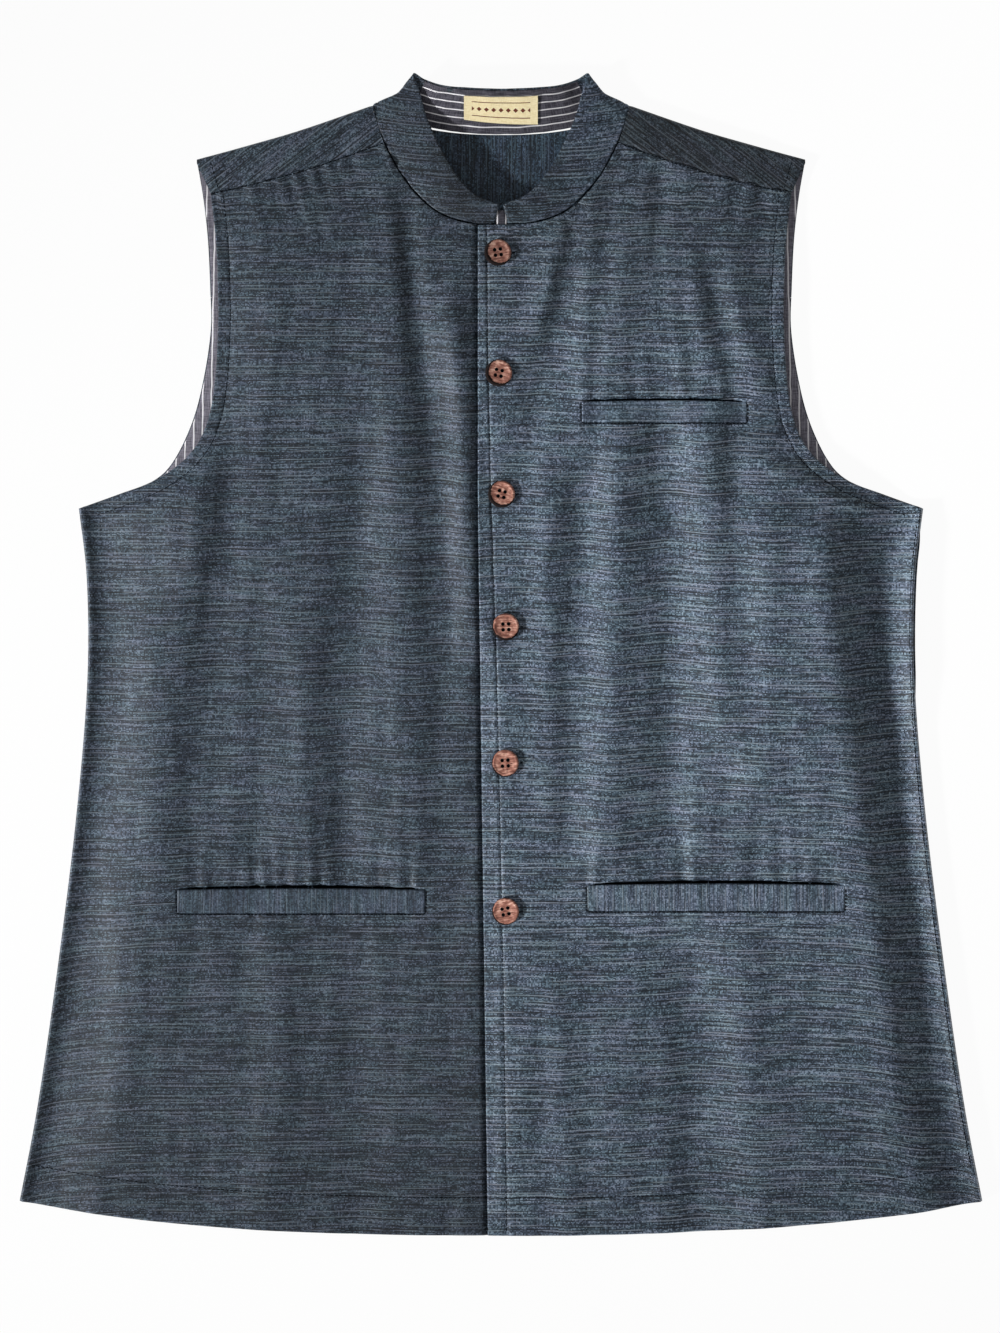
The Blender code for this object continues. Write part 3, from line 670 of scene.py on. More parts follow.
frontPanel = {
    "edgeSteps": [0, 0.35, 0.8, 1.5, 2.6, 4.0, 5.0, 5.7, 6.4, 7.1, 7.8, 8.5, 9.3, 10.1, 10.9,
                  11.6, 12.3, 13.0, 14.0],
    # the under front has close columns where the over front's edge lies on it
    "underSteps": [0, 0.4, 1.0, 2.0, 4.0, 7.0, 10.0, 13.0, 16.0, 18.5, 19.6, 20.5, 21.3, 22.1,
                   22.9, 23.7, 24.5, 25.3, 26.1, 26.9, 27.7, 28.5, 29.3, 30.1, 31.0, 32.2],
    "sideSteps": [0, 0.35, 0.8, 1.5, 2.6, 4.2, 5.8, 6.8, 7.5, 8.1, 8.8, 9.8, 12.0],
    "across": 97,
    # rows by the height of their inner end: where each band ends and how far apart they are
    "rowBands": [(-377.8, 1.05), (-178.0, 3.2), (-147.0, 0.9), (157.0, 3.2), (190.0, 1.1),
                 (276.5, 2.4), (281.3, 0.95)],
    "levelFrom": -330.0, "levelTo": 60.0,  # rows are level between these heights
    "neckFrom": 178.0, "neckShare": 0.40,
    "armholeStitch": 8.0, "hemStitch": 25.0, "sideStitch": 3.4,
    # grooves under the stitching: width, depth
    "armholeGroove": (0.8, 0.8), "hemGroove": (0.9, 0.22), "sideGroove": (0.6, 0.3),
    "edgeGroove": 0.8,
    # ripples between the stitching and the edge: height, length of a wave, middle, reach
    "armholeRipple": (0.22, 11.0, 4.5, 4.0), "hemRipple": (0.12, 15.0, 15.0, 12.0),
    "edgeRipple": (0.2, 13.0, 4.0, 3.5),
    # how the edges turn down: radius, drop
    "edgeRoll": (1.3, 0.9), "hemRoll": (1.3, 0.7), "armholeRoll": (1.4, 0.8),
    "neckRoll": (0.8, 0.35), "seamRoll": (1.0, 0.8),
    # puckers at the neck and shoulder seams: height, length of a wave, how far down they fade
    "neckPucker": (0.75, 9.0, 18.0), "seamPucker": (0.65, 15.0, 24.0),
    # slow unevenness of the whole cloth: height, size across, size along
    "uneven": [(0.28, 42.0, 160.0), (0.16, 17.0, 60.0)],
    "weftFollow": 0.35,  # how far the weft is carried by the folds
    "weftDrop": 9.0,  # how far it hangs down at the lower side seams
    # the seam allowances inside hold the side edges up: height, width
    "seamLip": 4.4, "seamLipReach": 14.5,
    # more so on the left: extra share and reach at the waist, how much of them the rest has,
    # and the heights where the waist starts and ends
    "lipMore": 1.4, "lipWider": 8.0, "lipRest": 0.3, "lipFrom": -60.0, "lipTo": 100.0,
}
# each button: centre x, y, how far its holes and grain are turned, how it leans in x and y,
# the radius where its dark rim starts, burnt shell with painted shadow, and how dark its face is
buttonSpots = [(-2.2, 262.7, 8, 0.15, 0.10, 8.0, 0.30), (-1.6, 183.6, -12, 0.15, 0.10, 8.0, 0.12),
               (0.2, 104.2, -14, 0.10, 0.10, 8.0, 0.0), (3.0, 17.1, 2, 0.02, 0.09, 8.4, 0.0),
               (2.7, -72.2, 4, 0.05, 0.05, 8.7, 0.0), (3.0, -169.5, 12, 0.06, 0.06, 8.7, 0.0)]
dimple = {"depth": 1.0, "inner": 4.5, "outer": 13.5}


def dimples(x, y):
    # where each button's thread pulls the cloth in
    total = np.zeros(x.shape)
    for spotX, spotY, *rest in buttonSpots:
        away = np.hypot(x - spotX, y - spotY)
        share = (away - dimple["inner"]) / (dimple["outer"] - dimple["inner"])
        total -= dimple["depth"] * (1 - smooth(share))
    return total


# pockets: name, low x, high x, top y, bottom y, open width of the mouth, pucker height
pockets = [
    ("chest_welt", 53.0, 161.7, 165.2, 151.5, 1.3, 0.4),
    ("left_pocket_welt", 56.4, 225.7, -152.3, -169.5, 2.0, 1.1),
    ("right_pocket_welt", -212.9, -49.8, -155.4, -171.0, 2.0, 0.95),
]
pocketShape = {
    "bow": 0.9,  # how far the middle of a welt's top is above its ends
    # the sunk bed of a welt: depth, how far it goes past the welt, and the run of its slope
    "bed": 1.0, "past": 0.6, "slope": 1.4,
    "mouthDepth": 4.2, "mouthMiddle": 0.55, "mouthHalf": 0.62,  # the last two by its width
    # puckers: their reach up and down, their share below the welt, and the length of a wave
    "above": 25.0, "below": 7.0, "belowShare": 0.55, "wave": 15.5,
    # a closer ripple on the lip: height, reach and the length of a wave
    "closeHeight": 0.45, "closeReach": 9.0, "closeWave": 9.5,
}


def mouthForm(mouth, share):
    # the bow of a welt's top edge, from 0 to 1, and the width of the open mouth over it
    bow = np.sin(math.pi * share)
    return bow, mouth * (0.25 + 0.75 * np.sqrt(np.clip(bow, 0, 1)))


def pocketForm(x, y):
    # the sunk bed of each welt, its open mouth and the puckers above it
    spec = pocketShape
    past, slope = spec["past"], spec["slope"]
    total = np.zeros(x.shape)
    for name, low, high, top, bottom, mouth, pucker in pockets:
        bow, width = mouthForm(mouth, np.clip((x - low) / (high - low), 0, 1))
        edge = top + spec["bow"] * bow
        inX = smooth((x - low + past) / slope) * smooth((high + past - x) / slope)
        inY = smooth((y - bottom + past) / slope) * smooth((edge + past - y) / slope)
        total -= spec["bed"] * inX * inY
        off = (y - edge - width * spec["mouthMiddle"]) / (width * spec["mouthHalf"])
        total -= spec["mouthDepth"] * inX * np.exp(-off ** 4) * np.minimum(1, 4 * bow + 0.15)
        over, under = np.clip(y - top - 1, 0, None), np.clip(bottom - y, 0, None)
        rise = np.exp(-over / spec["above"]) * (y > top)
        fall = np.exp(-under / spec["below"]) * (y < bottom) * spec["belowShare"]
        ends = smooth((x - low + 6) / 14) * smooth((high + 6 - x) / 14)
        seed = int(abs(top))
        total += pucker * (rise + fall) * ends * ripple(x, spec["wave"], 7 + seed)
        close = spec["closeHeight"] * np.exp(-over / spec["closeReach"]) * (y > top)
        total += close * ends * ripple(x, spec["closeWave"], 9 + seed)
    return total


def frontOutline(over):
    edge = overEdgeX if over else (lambda y: np.full(np.shape(y), -cut["underEdge"]))
    cornerY = cut["neckline"][0][1] - 0.2
    ys = np.linspace(cut["hemY"], cornerY, 60)
    left = np.stack([edge(ys), ys], axis=1)
    xs = np.linspace(float(edge(np.array(cut["hemY"]))), cut["sideSeam"][0][0], 60)
    bottom = np.stack([xs, hemY(xs)], axis=1)
    neck = spline([(float(edge(np.array(cornerY))), cornerY), *cut["neckline"]], 50)
    a, b = np.array(cut["neckline"][-1]), np.array(cut["armholeHigh"][-1])
    share = np.linspace(0, 1, 40)[:, None]
    seam = a + (b - a) * share
    seam[:, 1] -= cut["seamSag"] * np.sin(math.pi * share[:, 0]) + cloth["gap"]
    return left, bottom, neck, seam


def frontGrid(over):
    # points laid over one front, its rows level where the pockets are
    spec = frontPanel
    left, bottom, neck, seam = frontOutline(over)
    inner = spec["edgeSteps"] if over else spec["underSteps"]
    s = steps((inner, spec["sideSteps"]), spec["across"], 290.0)
    heights = [cut["hemY"]]
    for end, gap in spec["rowBands"]:
        count = max(1, round((end - heights[-1]) / gap))
        heights += list(np.linspace(heights[-1], end, count + 1)[1:])
    heights = np.array(heights)
    heights[-1] = left[-1, 1]
    # how far each row's outer end is along the side seam and armhole
    outer = np.vstack([sideLine, armholeLine[1:]])
    run = lengths(outer)
    sideRun = run[len(sideLine) - 1]
    level = np.interp(heights, [cut["hemY"], spec["levelFrom"], spec["levelTo"]],
                      [sideLine[0, 1], spec["levelFrom"], spec["levelTo"]])
    far = np.interp(level, sideLine[:, 1], run[:len(sideLine)])
    fan = (heights - spec["levelTo"]) / (heights[-1] - spec["levelTo"])
    start = np.interp(spec["levelTo"], sideLine[:, 1], run[:len(sideLine)])
    far = np.where(fan > 0, start + (run[-1] - start) * fan, far)
    far[np.argmin(np.abs(far - sideRun))] = sideRun
    right = np.stack([np.interp(far, run, outer[:, k]) for k in (0, 1)], axis=1)
    share = spec["neckShare"]
    top = np.where((s < share)[:, None], evenly(neck, np.clip(s / share, 0, 1)),
                   evenly(seam, np.clip((s - share) / (1 - share), 0, 1)))
    low = evenly(bottom, s)
    ends = np.stack([np.interp(heights, left[:, 1], left[:, 0]), heights], axis=1)
    S = s[:, None, None]
    lowPull = smooth(1 - (heights - cut["hemY"]) / 90.0)[None, :, None]
    topPull = np.clip((heights - spec["neckFrom"]) / (heights[-1] - spec["neckFrom"]), 0, 1)
    topPull = (topPull ** 1.4)[None, :, None]
    grid = (1 - S) * ends[None] + S * right[None]
    grid = grid + lowPull * (low[:, None] - (1 - S) * low[0] - S * low[-1])
    return grid + topPull * (top[:, None] - (1 - S) * top[0] - S * top[-1])


def frontShell(name, over):
    spec = frontPanel
    side = 1 if over else -1
    left, bottom, neck, seam = frontOutline(over)
    grid = frontGrid(over)
    lipMost = 1 + spec["lipMore"] if over else 1

    def place(i, j):
        across, y = grid[i, j, 0], grid[i, j, 1]
        x = side * across
        z = frontTop(x, y, over)
        folds = foldHeight(x, y)
        edgeD, edgeA = distanceTo(left, across, y)
        neckD, neckA = distanceTo(neck, across, y)
        seamD, seamA = distanceTo(seam, across, y)
        hemD, hemA = distanceTo(bottom, across, y)
        armD, armA = distanceTo(armholeLine, across, y)
        sideD = distanceTo(sideLine, across, y)[0]
        seed = 11 if over else 23
        for k, (height, sizeX, sizeY) in enumerate(spec["uneven"]):
            z += height * undulation(x, y, sizeX, sizeY, seed + k) * smooth(sideD / 30)
        # topstitching sinks, and the cloth ripples between it and the edge
        z += groove(armD - spec["armholeStitch"], *spec["armholeGroove"])
        z += seamRipple(armD, armA, *spec["armholeRipple"], seed + 2)
        z += groove(hemD - spec["hemStitch"], *spec["hemGroove"])
        z += seamRipple(hemD, hemA, *spec["hemRipple"], seed + 3)
        if over:
            # the lapped strip falls to its edge, more so at the waist
            fall = np.interp(y, [-200, 30, 140, 240], [1.8, 2.6, 2.5, 1.0])
            z -= fall * (1 - smooth(edgeD / 14.0))
            width = np.interp(y, [-330, -100], [1.9, 0.8])
            z += groove(edgeD - edgeStitchAt(y), width, spec["edgeGroove"])
            z += seamRipple(edgeD, edgeA, *spec["edgeRipple"], seed + 4)
            z += groove(sideD - 3.6, *spec["sideGroove"])
        else:
            # the under front dips beside the lapped edge
            near = x - overEdgeX(y) + 0.9
            z += groove(near, 1.5, 1.6) + groove(near, 7.0, 0.7)
            z -= 1.5 * smooth((near + 1.0) / 3.0)
        height, wave, reach = spec["neckPucker"]
        pucker = height * ripple(neckA, wave, seed + 5) * np.exp(-neckD / reach)
        height, wave, reach = spec["seamPucker"]
        pucker += height * ripple(seamA, wave, seed + 6) * np.exp(-seamD / reach)
        z += pucker
        z += pocketForm(x, y) + dimples(x, y)
        z += roll(edgeD, *spec["edgeRoll"]) + roll(hemD, *spec["hemRoll"])
        z += roll(armD, *spec["armholeRoll"]) + roll(neckD, *spec["neckRoll"])
        z += roll(seamD, *spec["seamRoll"])
        seat = cloth["back"] + 0.16
        waist = smooth((y - spec["lipFrom"]) / 50) * smooth((spec["lipTo"] - y) / 30)
        waist = (spec["lipRest"] + (1 - spec["lipRest"]) * waist) * over
        reach = spec["seamLipReach"] + spec["lipWider"] * waist
        lip = spec["seamLip"] * np.clip(1 - sideD / reach, 0, 1) ** 2
        lip = lip * (1 + spec["lipMore"] * waist)
        flatEdge = np.exp(-(sideD / 1.1) ** 2)
        z = np.maximum((z + lip) * (1 - flatEdge) + seat * flatEdge, seat)
        wall = cloth["front"] + spec["seamLip"] * lipMost
        thin = np.minimum(z - cloth["back"] - 0.12, cloth["front"] + lip) / wall
        thin = np.clip(thin, 0.012, 1)
        drawn = spec["weftDrop"] * np.exp(-sideD / 28.0) * smooth((-60 - y) / 200)
        flat = np.stack([x, y + spec["weftFollow"] * (folds + 3.3 * pucker) + drawn], axis=1)
        return np.stack([x, y, z], axis=1), flat, thin

    outside = leftSilk if over else rightSilk
    return clothShell(name, grid.shape[0] - 1, grid.shape[1] - 1, place,
                      cloth["front"] + spec["seamLip"] * lipMost, (outside, innerCloth),
                      flip=not over)


rightFront = frontShell("right_front_cloth", over=False)
leftFront = frontShell("left_front_cloth", over=True)
print("fronts made")


def backShell():
    columns, rows = 150, 150
    armhole = backArmholeLine
    seamY = cut["yokeSeamY"] - cloth["gap"]
    seamX = np.interp(seamY, armhole[:, 1], armhole[:, 0])
    below = np.vstack([armhole[armhole[:, 1] < seamY], [seamX, seamY]])
    side = evenly(sideLine, np.linspace(0, 1, 100, endpoint=False))
    outline = np.vstack([side, evenly(below, np.linspace(0, 1, 51))])

    def place(i, j):
        share = 2 * i / columns - 1
        x = outline[j, 0] * share
        lift = np.clip(1 - j / 30, 0, 1)
        y = outline[j, 1] + (hemY(x) - outline[j, 1]) * lift
        z = np.zeros(x.shape)
        return np.stack([x, y, z], axis=1), np.stack([x, y], axis=1), None

    return clothShell("back_cloth", columns, rows, place, cloth["back"],
                      (jacketCloth, innerCloth), flip=True)


backCloth = backShell()


def shoulderRadius(x):
    return frontTop(x, shoulderFoldY(x) - 4.0, False) / 2


yokePanel = {"strap": 46, "neck": 60, "backRows": 40, "turnRows": 14, "frontRows": 16,
             "shoulderGrain": 38.0,
             "seamRun": 30.0, "strapRun": 112.0}  # lengths down the front and out to the armhole


def yokeShell():
    spec = yokePanel
    strap, neck = spec["strap"], spec["neck"]
    backRows, turnRows, frontRows = spec["backRows"], spec["turnRows"], spec["frontRows"]
    columns = 2 * strap + neck
    armhole = backArmholeLine
    startX = np.interp(cut["yokeSeamY"], armhole[:, 1], armhole[:, 0])
    high = np.vstack([[startX, cut["yokeSeamY"]], armhole[armhole[:, 1] > cut["yokeSeamY"]]])
    backEdge = evenly(high, np.linspace(0, 1, backRows + 1))
    seamStart, seamEnd = np.array(cut["neckline"][-1]), np.array(cut["armholeHigh"][-1])
    tipX = foldLine[-1, 0]
    neckHalf = cut["neckHalf"] - 1.0  # the seam allowance shows as no gap beside the collar
    neckRadius = float(shoulderRadius(np.array([neckHalf]))[0])
    neckEndY = foldLine[0, 1] - neckRadius

    def place(i, j):
        side = np.where(i < strap, -1, 1)
        share = np.where(i < strap, (strap - i) / strap, (i - strap - neck) / strap)
        middle = (i >= strap) & (i <= strap + neck)
        centre = 2 * (i - strap) / neck - 1
        share = np.where(middle, 0.0, share)
        side = np.where(middle, np.where(centre > 0, 1, -1), side)
        jb = np.minimum(j, backRows)
        xNeck = neckHalf * centre
        neckY = cut["backNeckY"] + (neckEndY - cut["backNeckY"]) * np.abs(centre) ** 2.4
        yNeck = cut["yokeSeamY"] + (neckY - cut["yokeSeamY"]) * jb / backRows
        xb = neckHalf + (backEdge[jb, 0] - neckHalf) * share
        radius = shoulderRadius(xb)
        yb = cut["yokeSeamY"] + (shoulderFoldY(xb) - radius - cut["yokeSeamY"]) * jb / backRows
        xt = neckHalf + (tipX - neckHalf) * share
        radius = shoulderRadius(xt)
        foldY = shoulderFoldY(xt)
        turn = math.pi * np.clip(j - backRows, 0, turnRows) / turnRows
        yt = foldY - radius + radius * np.sin(turn)
        zt = radius * (1 - np.cos(turn))
        down = np.clip(j - backRows - turnRows, 0, None) / frontRows
        seamX = seamStart[0] + (seamEnd[0] - seamStart[0]) * share
        seamY = (seamStart[1] + (seamEnd[1] - seamStart[1]) * share
                 - cut["seamSag"] * np.sin(math.pi * share))
        xd = xt + (seamX - xt) * down
        yd = foldY - radius + (seamY - foldY + radius) * down
        zd = frontTop(xd, yd, False)
        onBack, onTurn = j <= backRows, (j > backRows) & (j <= backRows + turnRows)
        x = np.where(onBack, np.where(middle, np.abs(xNeck), xb), np.where(onTurn, xt, xd))
        y = np.where(onBack, np.where(middle, yNeck, yb), np.where(onTurn, yt, yd))
        z = np.where(onBack, 0.0, np.where(onTurn, zt, zd))
        # the seam sinks, the armhole edge and its topstitching too
        seamD = (1 - down) * spec["seamRun"] * np.where(onBack | onTurn, 9, 1)
        edgeD = (1 - share) * spec["strapRun"]
        upper = smooth((j - backRows - turnRows * 0.5) / (turnRows * 0.5)) * (share > 0)
        z = z + upper * (roll(seamD, 1.1, 1.0) + roll(edgeD, 1.4, 0.6)
                         + groove(edgeD - frontPanel["armholeStitch"], 0.8, 0.6)
                         + 0.2 * ripple(share * spec["strapRun"], 10.0, 31)
                         * np.exp(-seamD / 7.0)
                         + 0.25 * undulation(x, y, 30.0, 40.0, 33))
        x = side * x
        # cloth coordinates: the weft runs up the back and slants over the shoulders
        angle = math.radians(spec["shoulderGrain"]) * np.where(x < 0, 1, -1)
        turned = ~onBack
        u = np.where(turned, x * np.cos(angle) + y * np.sin(angle), y)
        v = np.where(turned, -x * np.sin(angle) + y * np.cos(angle), x)
        return np.stack([x, y, z], axis=1), np.stack([u, v], axis=1), None

    def keep(i, j):
        return j < backRows or i < strap or i >= strap + neck

    return clothShell("yoke_cloth", columns, backRows + turnRows + frontRows, place,
                      cloth["back"], (shoulderSilk, innerCloth), flip=True, keep=keep)


yokeCloth = yokeShell()
print("back and yoke made")


# the collar: sections from the centre front round to the centre back
# lower x, y, z and upper x, y, z; a lower z of None rests on the front
collarBand = {
    "sections": [
        (4.4, 282.4, None, 1.3, 294.8, 14.3), (20.0, 283.3, None, 17.0, 301.5, 14.4),
        (42.3, 291.3, None, 29.0, 314.0, 14.1), (62.5, 311.4, None, 40.5, 333.5, 13.6),
        (74.6, 332.5, None, 49.0, 353.0, 13.1), (81.9, 351.0, None, 53.5, 369.0, 12.7),
        (84.2, 361.6, 4.6, 57.6, 381.5, 12.0), (73.0, 354.6, 1.5, 50.0, 377.6, 10.4),
        (54.0, 348.6, 1.0, 38.0, 373.4, 14.8), (29.0, 344.2, 0.8, 20.0, 371.4, 17.4),
        (0.0, 342.6, 0.8, 0.0, 370.8, 18.0),
    ],
    "perSection": 14, "rows": 26, "bulge": 0.7, "height": 33.0,
    "seamGroove": 3.1,  # how far up its seam stitching sinks
    "facingFlat": 33.5, "facingRows": 24,
}


def collarSections(count):
    half = collarBand["sections"]

    def points(section, side):
        lx, ly, lz, ux, uy, uz = section
        lift = 0.0
        if lz is None:
            at = np.array([float(side * lx)]), np.array([float(ly)])
            lz = float(frontTop(*at, side > 0)[0]) - 0.2
            if side > 0:
                lift = lz + 0.2 - float(frontTop(*at, False)[0])
        return (side * lx, ly, lz), (side * ux, uy, uz + lift)

    ring = [points(s, 1) for s in half] + [points(s, -1) for s in reversed(half[:-1])]
    total = count * (len(ring) - 1)
    return spline([r[0] for r in ring], total), spline([r[1] for r in ring], total)


def collarGrid(first, last, start, end, rows, inward, bulge):
    # points of the band between two sections and two shares of its height, moved inwards
    per = collarBand["perSection"]
    lower, upper = collarSections(per)
    a, b = int(first * per), int(last * per)
    heights = np.asarray(rows) * (end - start) + start
    base = lower[:, None] + (upper - lower)[:, None] * heights[None, :, None]
    alongI, alongJ = np.gradient(base, axis=0), (upper - lower)[:, None] + 0 * base
    normal = np.cross(alongI, alongJ)
    normal /= np.linalg.norm(normal, axis=2)[:, :, None]
    arch = bulge * 4 * heights * (1 - heights)
    base = base + normal * (arch[None, :, None] - inward)
    return base[a:b + 1], normal[a:b + 1], heights


def collarShell():
    spec = collarBand
    count = len(spec["sections"]) * 2 - 2
    height = spec["height"]
    fine = np.array([0, 0.35, 0.8, 1.4, 2.1, 3.0, 4.2]) / height
    rows = np.concatenate([fine, np.linspace(fine[-1], 1 - fine[-1], spec["rows"])[1:-1],
                           1 - fine[::-1]])
    grid, normal, heights = collarGrid(0, count, 0.0, 1.0, rows, 0.0, spec["bulge"])
    run = lengths(grid[:, 0])

    def place(i, j):
        p = grid[i, j].copy()
        n = normal[i, j]
        d = heights[j] * height
        end = np.minimum(run[i], run[-1] - run[i])
        move = (roll(d, 0.6, 0.3) + roll(height - d, 1.2, 0.7) + roll(end, 1.2, 0.6)
                + groove(d - spec["seamGroove"], 0.6, 0.3)
                + seamRipple(d, run[i], 0.22, 12.0, 1.5, 5.0, 51)
                + 0.2 * undulation(run[i], d, 26.0, 40.0, 53))
        p += n * move[:, None]
        flat = np.stack([p[:, 0], p[:, 1] + 0.8 * p[:, 2]], axis=1)
        return p, flat, None

    return clothShell("collar_cloth", grid.shape[0] - 1, grid.shape[1] - 1, place,
                      cloth["collar"], (collarSilk,))


collarCloth = collarShell()


def collarFacing():
    inward = cloth["collar"] + cloth["gap"] * 0.5
    spec = collarBand
    rows = np.linspace(0, 1, spec["facingRows"] + 1)
    grid, normal, heights = collarGrid(7.0, 13.0, 0.02, 0.965, rows, inward, spec["bulge"])
    run = lengths(grid[:, len(rows) // 2])

    def place(i, j):
        waves = 0.35 * undulation(run[i], heights[j] * spec["height"], 22.0, 30.0, 61)
        flat = np.stack([run[i], heights[j] * spec["facingFlat"]], axis=1)
        return grid[i, j] + normal[i, j] * waves[:, None], flat, None

    return clothShell("collar_facing_cloth", grid.shape[0] - 1, spec["facingRows"], place,
                      cloth["facing"], (neckStripe,))


facingShell = collarFacing()


labelForm = {"columns": 44, "rows": 20, "fromX": 24.2, "toX": -24.4, "clear": 0.45,
             # its lower edge is tacked a little higher at one end
             "lowRise": 0.3, "highRise": 2.9}


def neckLabel():
    spec = labelForm
    inward = cloth["collar"] + cloth["gap"] + cloth["facing"] + spec["clear"]
    rows = np.linspace(0, 1, spec["rows"] + 1)
    grid, normal, heights = collarGrid(8.4, 11.6, 0.20, 0.84, rows, inward, collarBand["bulge"])
    columns = spec["columns"]
    xs = np.linspace(spec["fromX"], spec["toX"], columns + 1)
    lined = np.zeros((columns + 1, len(rows), 3))
    for j in range(len(rows)):
        order = np.argsort(grid[:, j, 0])
        for k in range(3):
            lined[:, j, k] = np.interp(xs, grid[order, j, 0], grid[order, j, k])
    n = normal[normal.shape[0] // 2, len(rows) // 2]

    def place(i, j):
        share = j / spec["rows"]
        p = lined[i, j].copy()
        ends = np.minimum(i, columns - i) / columns
        p -= n * (0.25 * np.exp(-ends * 22) + 0.3 * np.sin(i / 6.0) ** 2 * share)[:, None]
        rise = (1 - share) * (spec["lowRise"] + spec["highRise"] * i / columns)
        p += rise[:, None] * np.array([0, 1, 0.6])
        flat = np.stack([xs[i], (share - 0.5) * labelWeave["height"]], axis=1)
        return p, flat, None

    return clothShell("neck_label_cloth", columns, spec["rows"], place, cloth["label"],
                      (satinLabel,))


labelShell = neckLabel()


loopForm = {"lowY": 281.6, "length": 9.4, "half": 3.7, "middleX": 0.3, "wall": 0.7,
            "arch": 0.7, "crown": 0.5, "up": 0.3, "drop": 1.8, "stripeShift": 2.5}


def neckLoop():
    spec = loopForm
    columns, rows = 16, 14

    def place(i, j):
        across, up = 2 * i / columns - 1, j / rows
        x = spec["half"] * across + spec["middleX"]
        y = spec["lowY"] + spec["length"] * up
        bend = spec["arch"] * np.sin(math.pi * up) + spec["crown"] * (1 - across ** 2)
        base = frontTop(np.zeros(x.shape), np.full(x.shape, 282.0), False)
        z = base + bend + spec["up"] - spec["drop"] * up
        return np.stack([x, y, z], axis=1), np.stack([y, x + spec["stripeShift"]], axis=1), None

    return clothShell("neck_loop_cloth", columns, rows, place, spec["wall"], (neckStripe,))


loopShell = neckLoop()


facingForm = {"lowY": 100.0, "highY": 318.0, "from": 0.7, "width": 29.0, "up": 0.6}


def armholeFacing(name, side):
    spec = facingForm
    armhole = backArmholeLine
    shown = armhole[(armhole[:, 1] > spec["lowY"]) & (armhole[:, 1] < spec["highY"])]
    rows, columns = 120, 26
    edge = evenly(shown, np.linspace(0, 1, rows + 1))
    inward = leftOf(edge)
    inward *= np.where(inward[:, :1] < 0, 1, -1)

    def place(i, j):
        near = spec["from"] + spec["width"] * (i / columns)
        at = edge[j] + inward[j] * near[:, None]
        z = cloth["back"] + cloth["facing"] + spec["up"]
        z = z + 0.15 * undulation(at[:, 0], at[:, 1], 20, 40, 71)
        z += roll(near - spec["from"], 1.0, 0.3)
        flat = np.stack([at[:, 1], at[:, 0] + 0.02 * (at[:, 1] - 200)], axis=1)
        return np.stack([side * at[:, 0], at[:, 1], z], axis=1), flat, None

    return clothShell(name, columns, rows, place, cloth["facing"], (armholeStripe,),
                      flip=side > 0)


rightArmhole = armholeFacing("right_armhole_facing", -1)
leftArmhole = armholeFacing("left_armhole_facing", 1)
print("collar, label and facings made")


# welts, buttons and sewing

def surfaceOf(made):
    vertices = [v.co.copy() for v in made.data.vertices]
    return BVHTree.FromPolygons(vertices, [tuple(p.vertices) for p in made.data.polygons])


leftTree, rightTree = surfaceOf(leftFront), surfaceOf(rightFront)
yokeTree = surfaceOf(yokeCloth)


def heightOn(tree, x, y):
    hit = tree.ray_cast(Vector((x, y, 100.0)) * mm, Vector((0, 0, -1)))[0]
    return None if hit is None else hit.z / mm


weltForm = {"proud": 0.1, "rise": 0.4, "steps": [0, 0.3, 0.7, 1.3, 2.2], "rows": 8,
            "pitch": 1.7, "seamOut": 0.6, "corner": 1.8}


def weltShell(pocket):
    name, low, high, top, bottom, *rest = pocket
    spec = weltForm
    over = low > 0
    length = high - low
    ends = (spec["steps"], spec["steps"])
    s = steps(ends, int(length / spec["pitch"]), length)
    t = steps(ends, spec["rows"], top - bottom)
    upright = "pocket" in name

    def place(i, j):
        x = low + length * s[i]
        edge = top + pocketShape["bow"] * np.sin(math.pi * s[i])
        y = bottom + (edge - bottom) * t[j]
        z = frontTop(x, y, over) + spec["proud"] + spec["rise"] * np.sqrt(np.clip(t[j], 0, 1))
        z += roll(np.minimum(s[i], 1 - s[i]) * length, 1.2, 0.9)
        z += roll(y - bottom, 1.2, 0.9) + roll(edge - y, 1.3, 0.8)
        z += 0.12 * undulation(x, y, 14.0, 20.0, 81)
        flat = np.stack([y, x], axis=1) if upright else np.stack([x, y], axis=1)
        return np.stack([x, y, z], axis=1), flat, None

    return clothShell(name + "_cloth", len(s) - 1, len(t) - 1, place, cloth["welt"],
                      (weltSilk if over else shadedWelt,))


weltShells = [weltShell(pocket) for pocket in pockets]


buttonForm = {
    "holeRadius": 1.25, "holeOut": 1.9, "seat": 0.2,
    # radius and height of the turned section, from the middle of the back to that of the face
    "section": [(0, 0), (6.2, 0), (8.0, 0.4), (8.75, 1.0), (8.9, 1.6), (8.75, 2.1), (8.3, 2.5),
                (7.9, 2.7), (7.5, 2.75), (7.1, 2.65), (6.7, 2.45), (6.0, 2.3), (0, 2.25)],
    # the shift widens the dark rim on the low side of the button: painted shadow
    "burntAndShadowShift": 9.5,  # how far the lean moves the burnt rim's inner side
    "seatRing": 8.4,  # radius of the ring of cloth that the button leans like
    "threadRadius": 1.15, "threadLength": 1.6, "threadUp": 0.15,
}


def holeAt(k):
    # the middle of one of the four holes
    angle = math.pi / 4 + math.pi / 2 * k
    return Vector((math.cos(angle), math.sin(angle), 0)) * buttonForm["holeOut"] * math.sqrt(2)


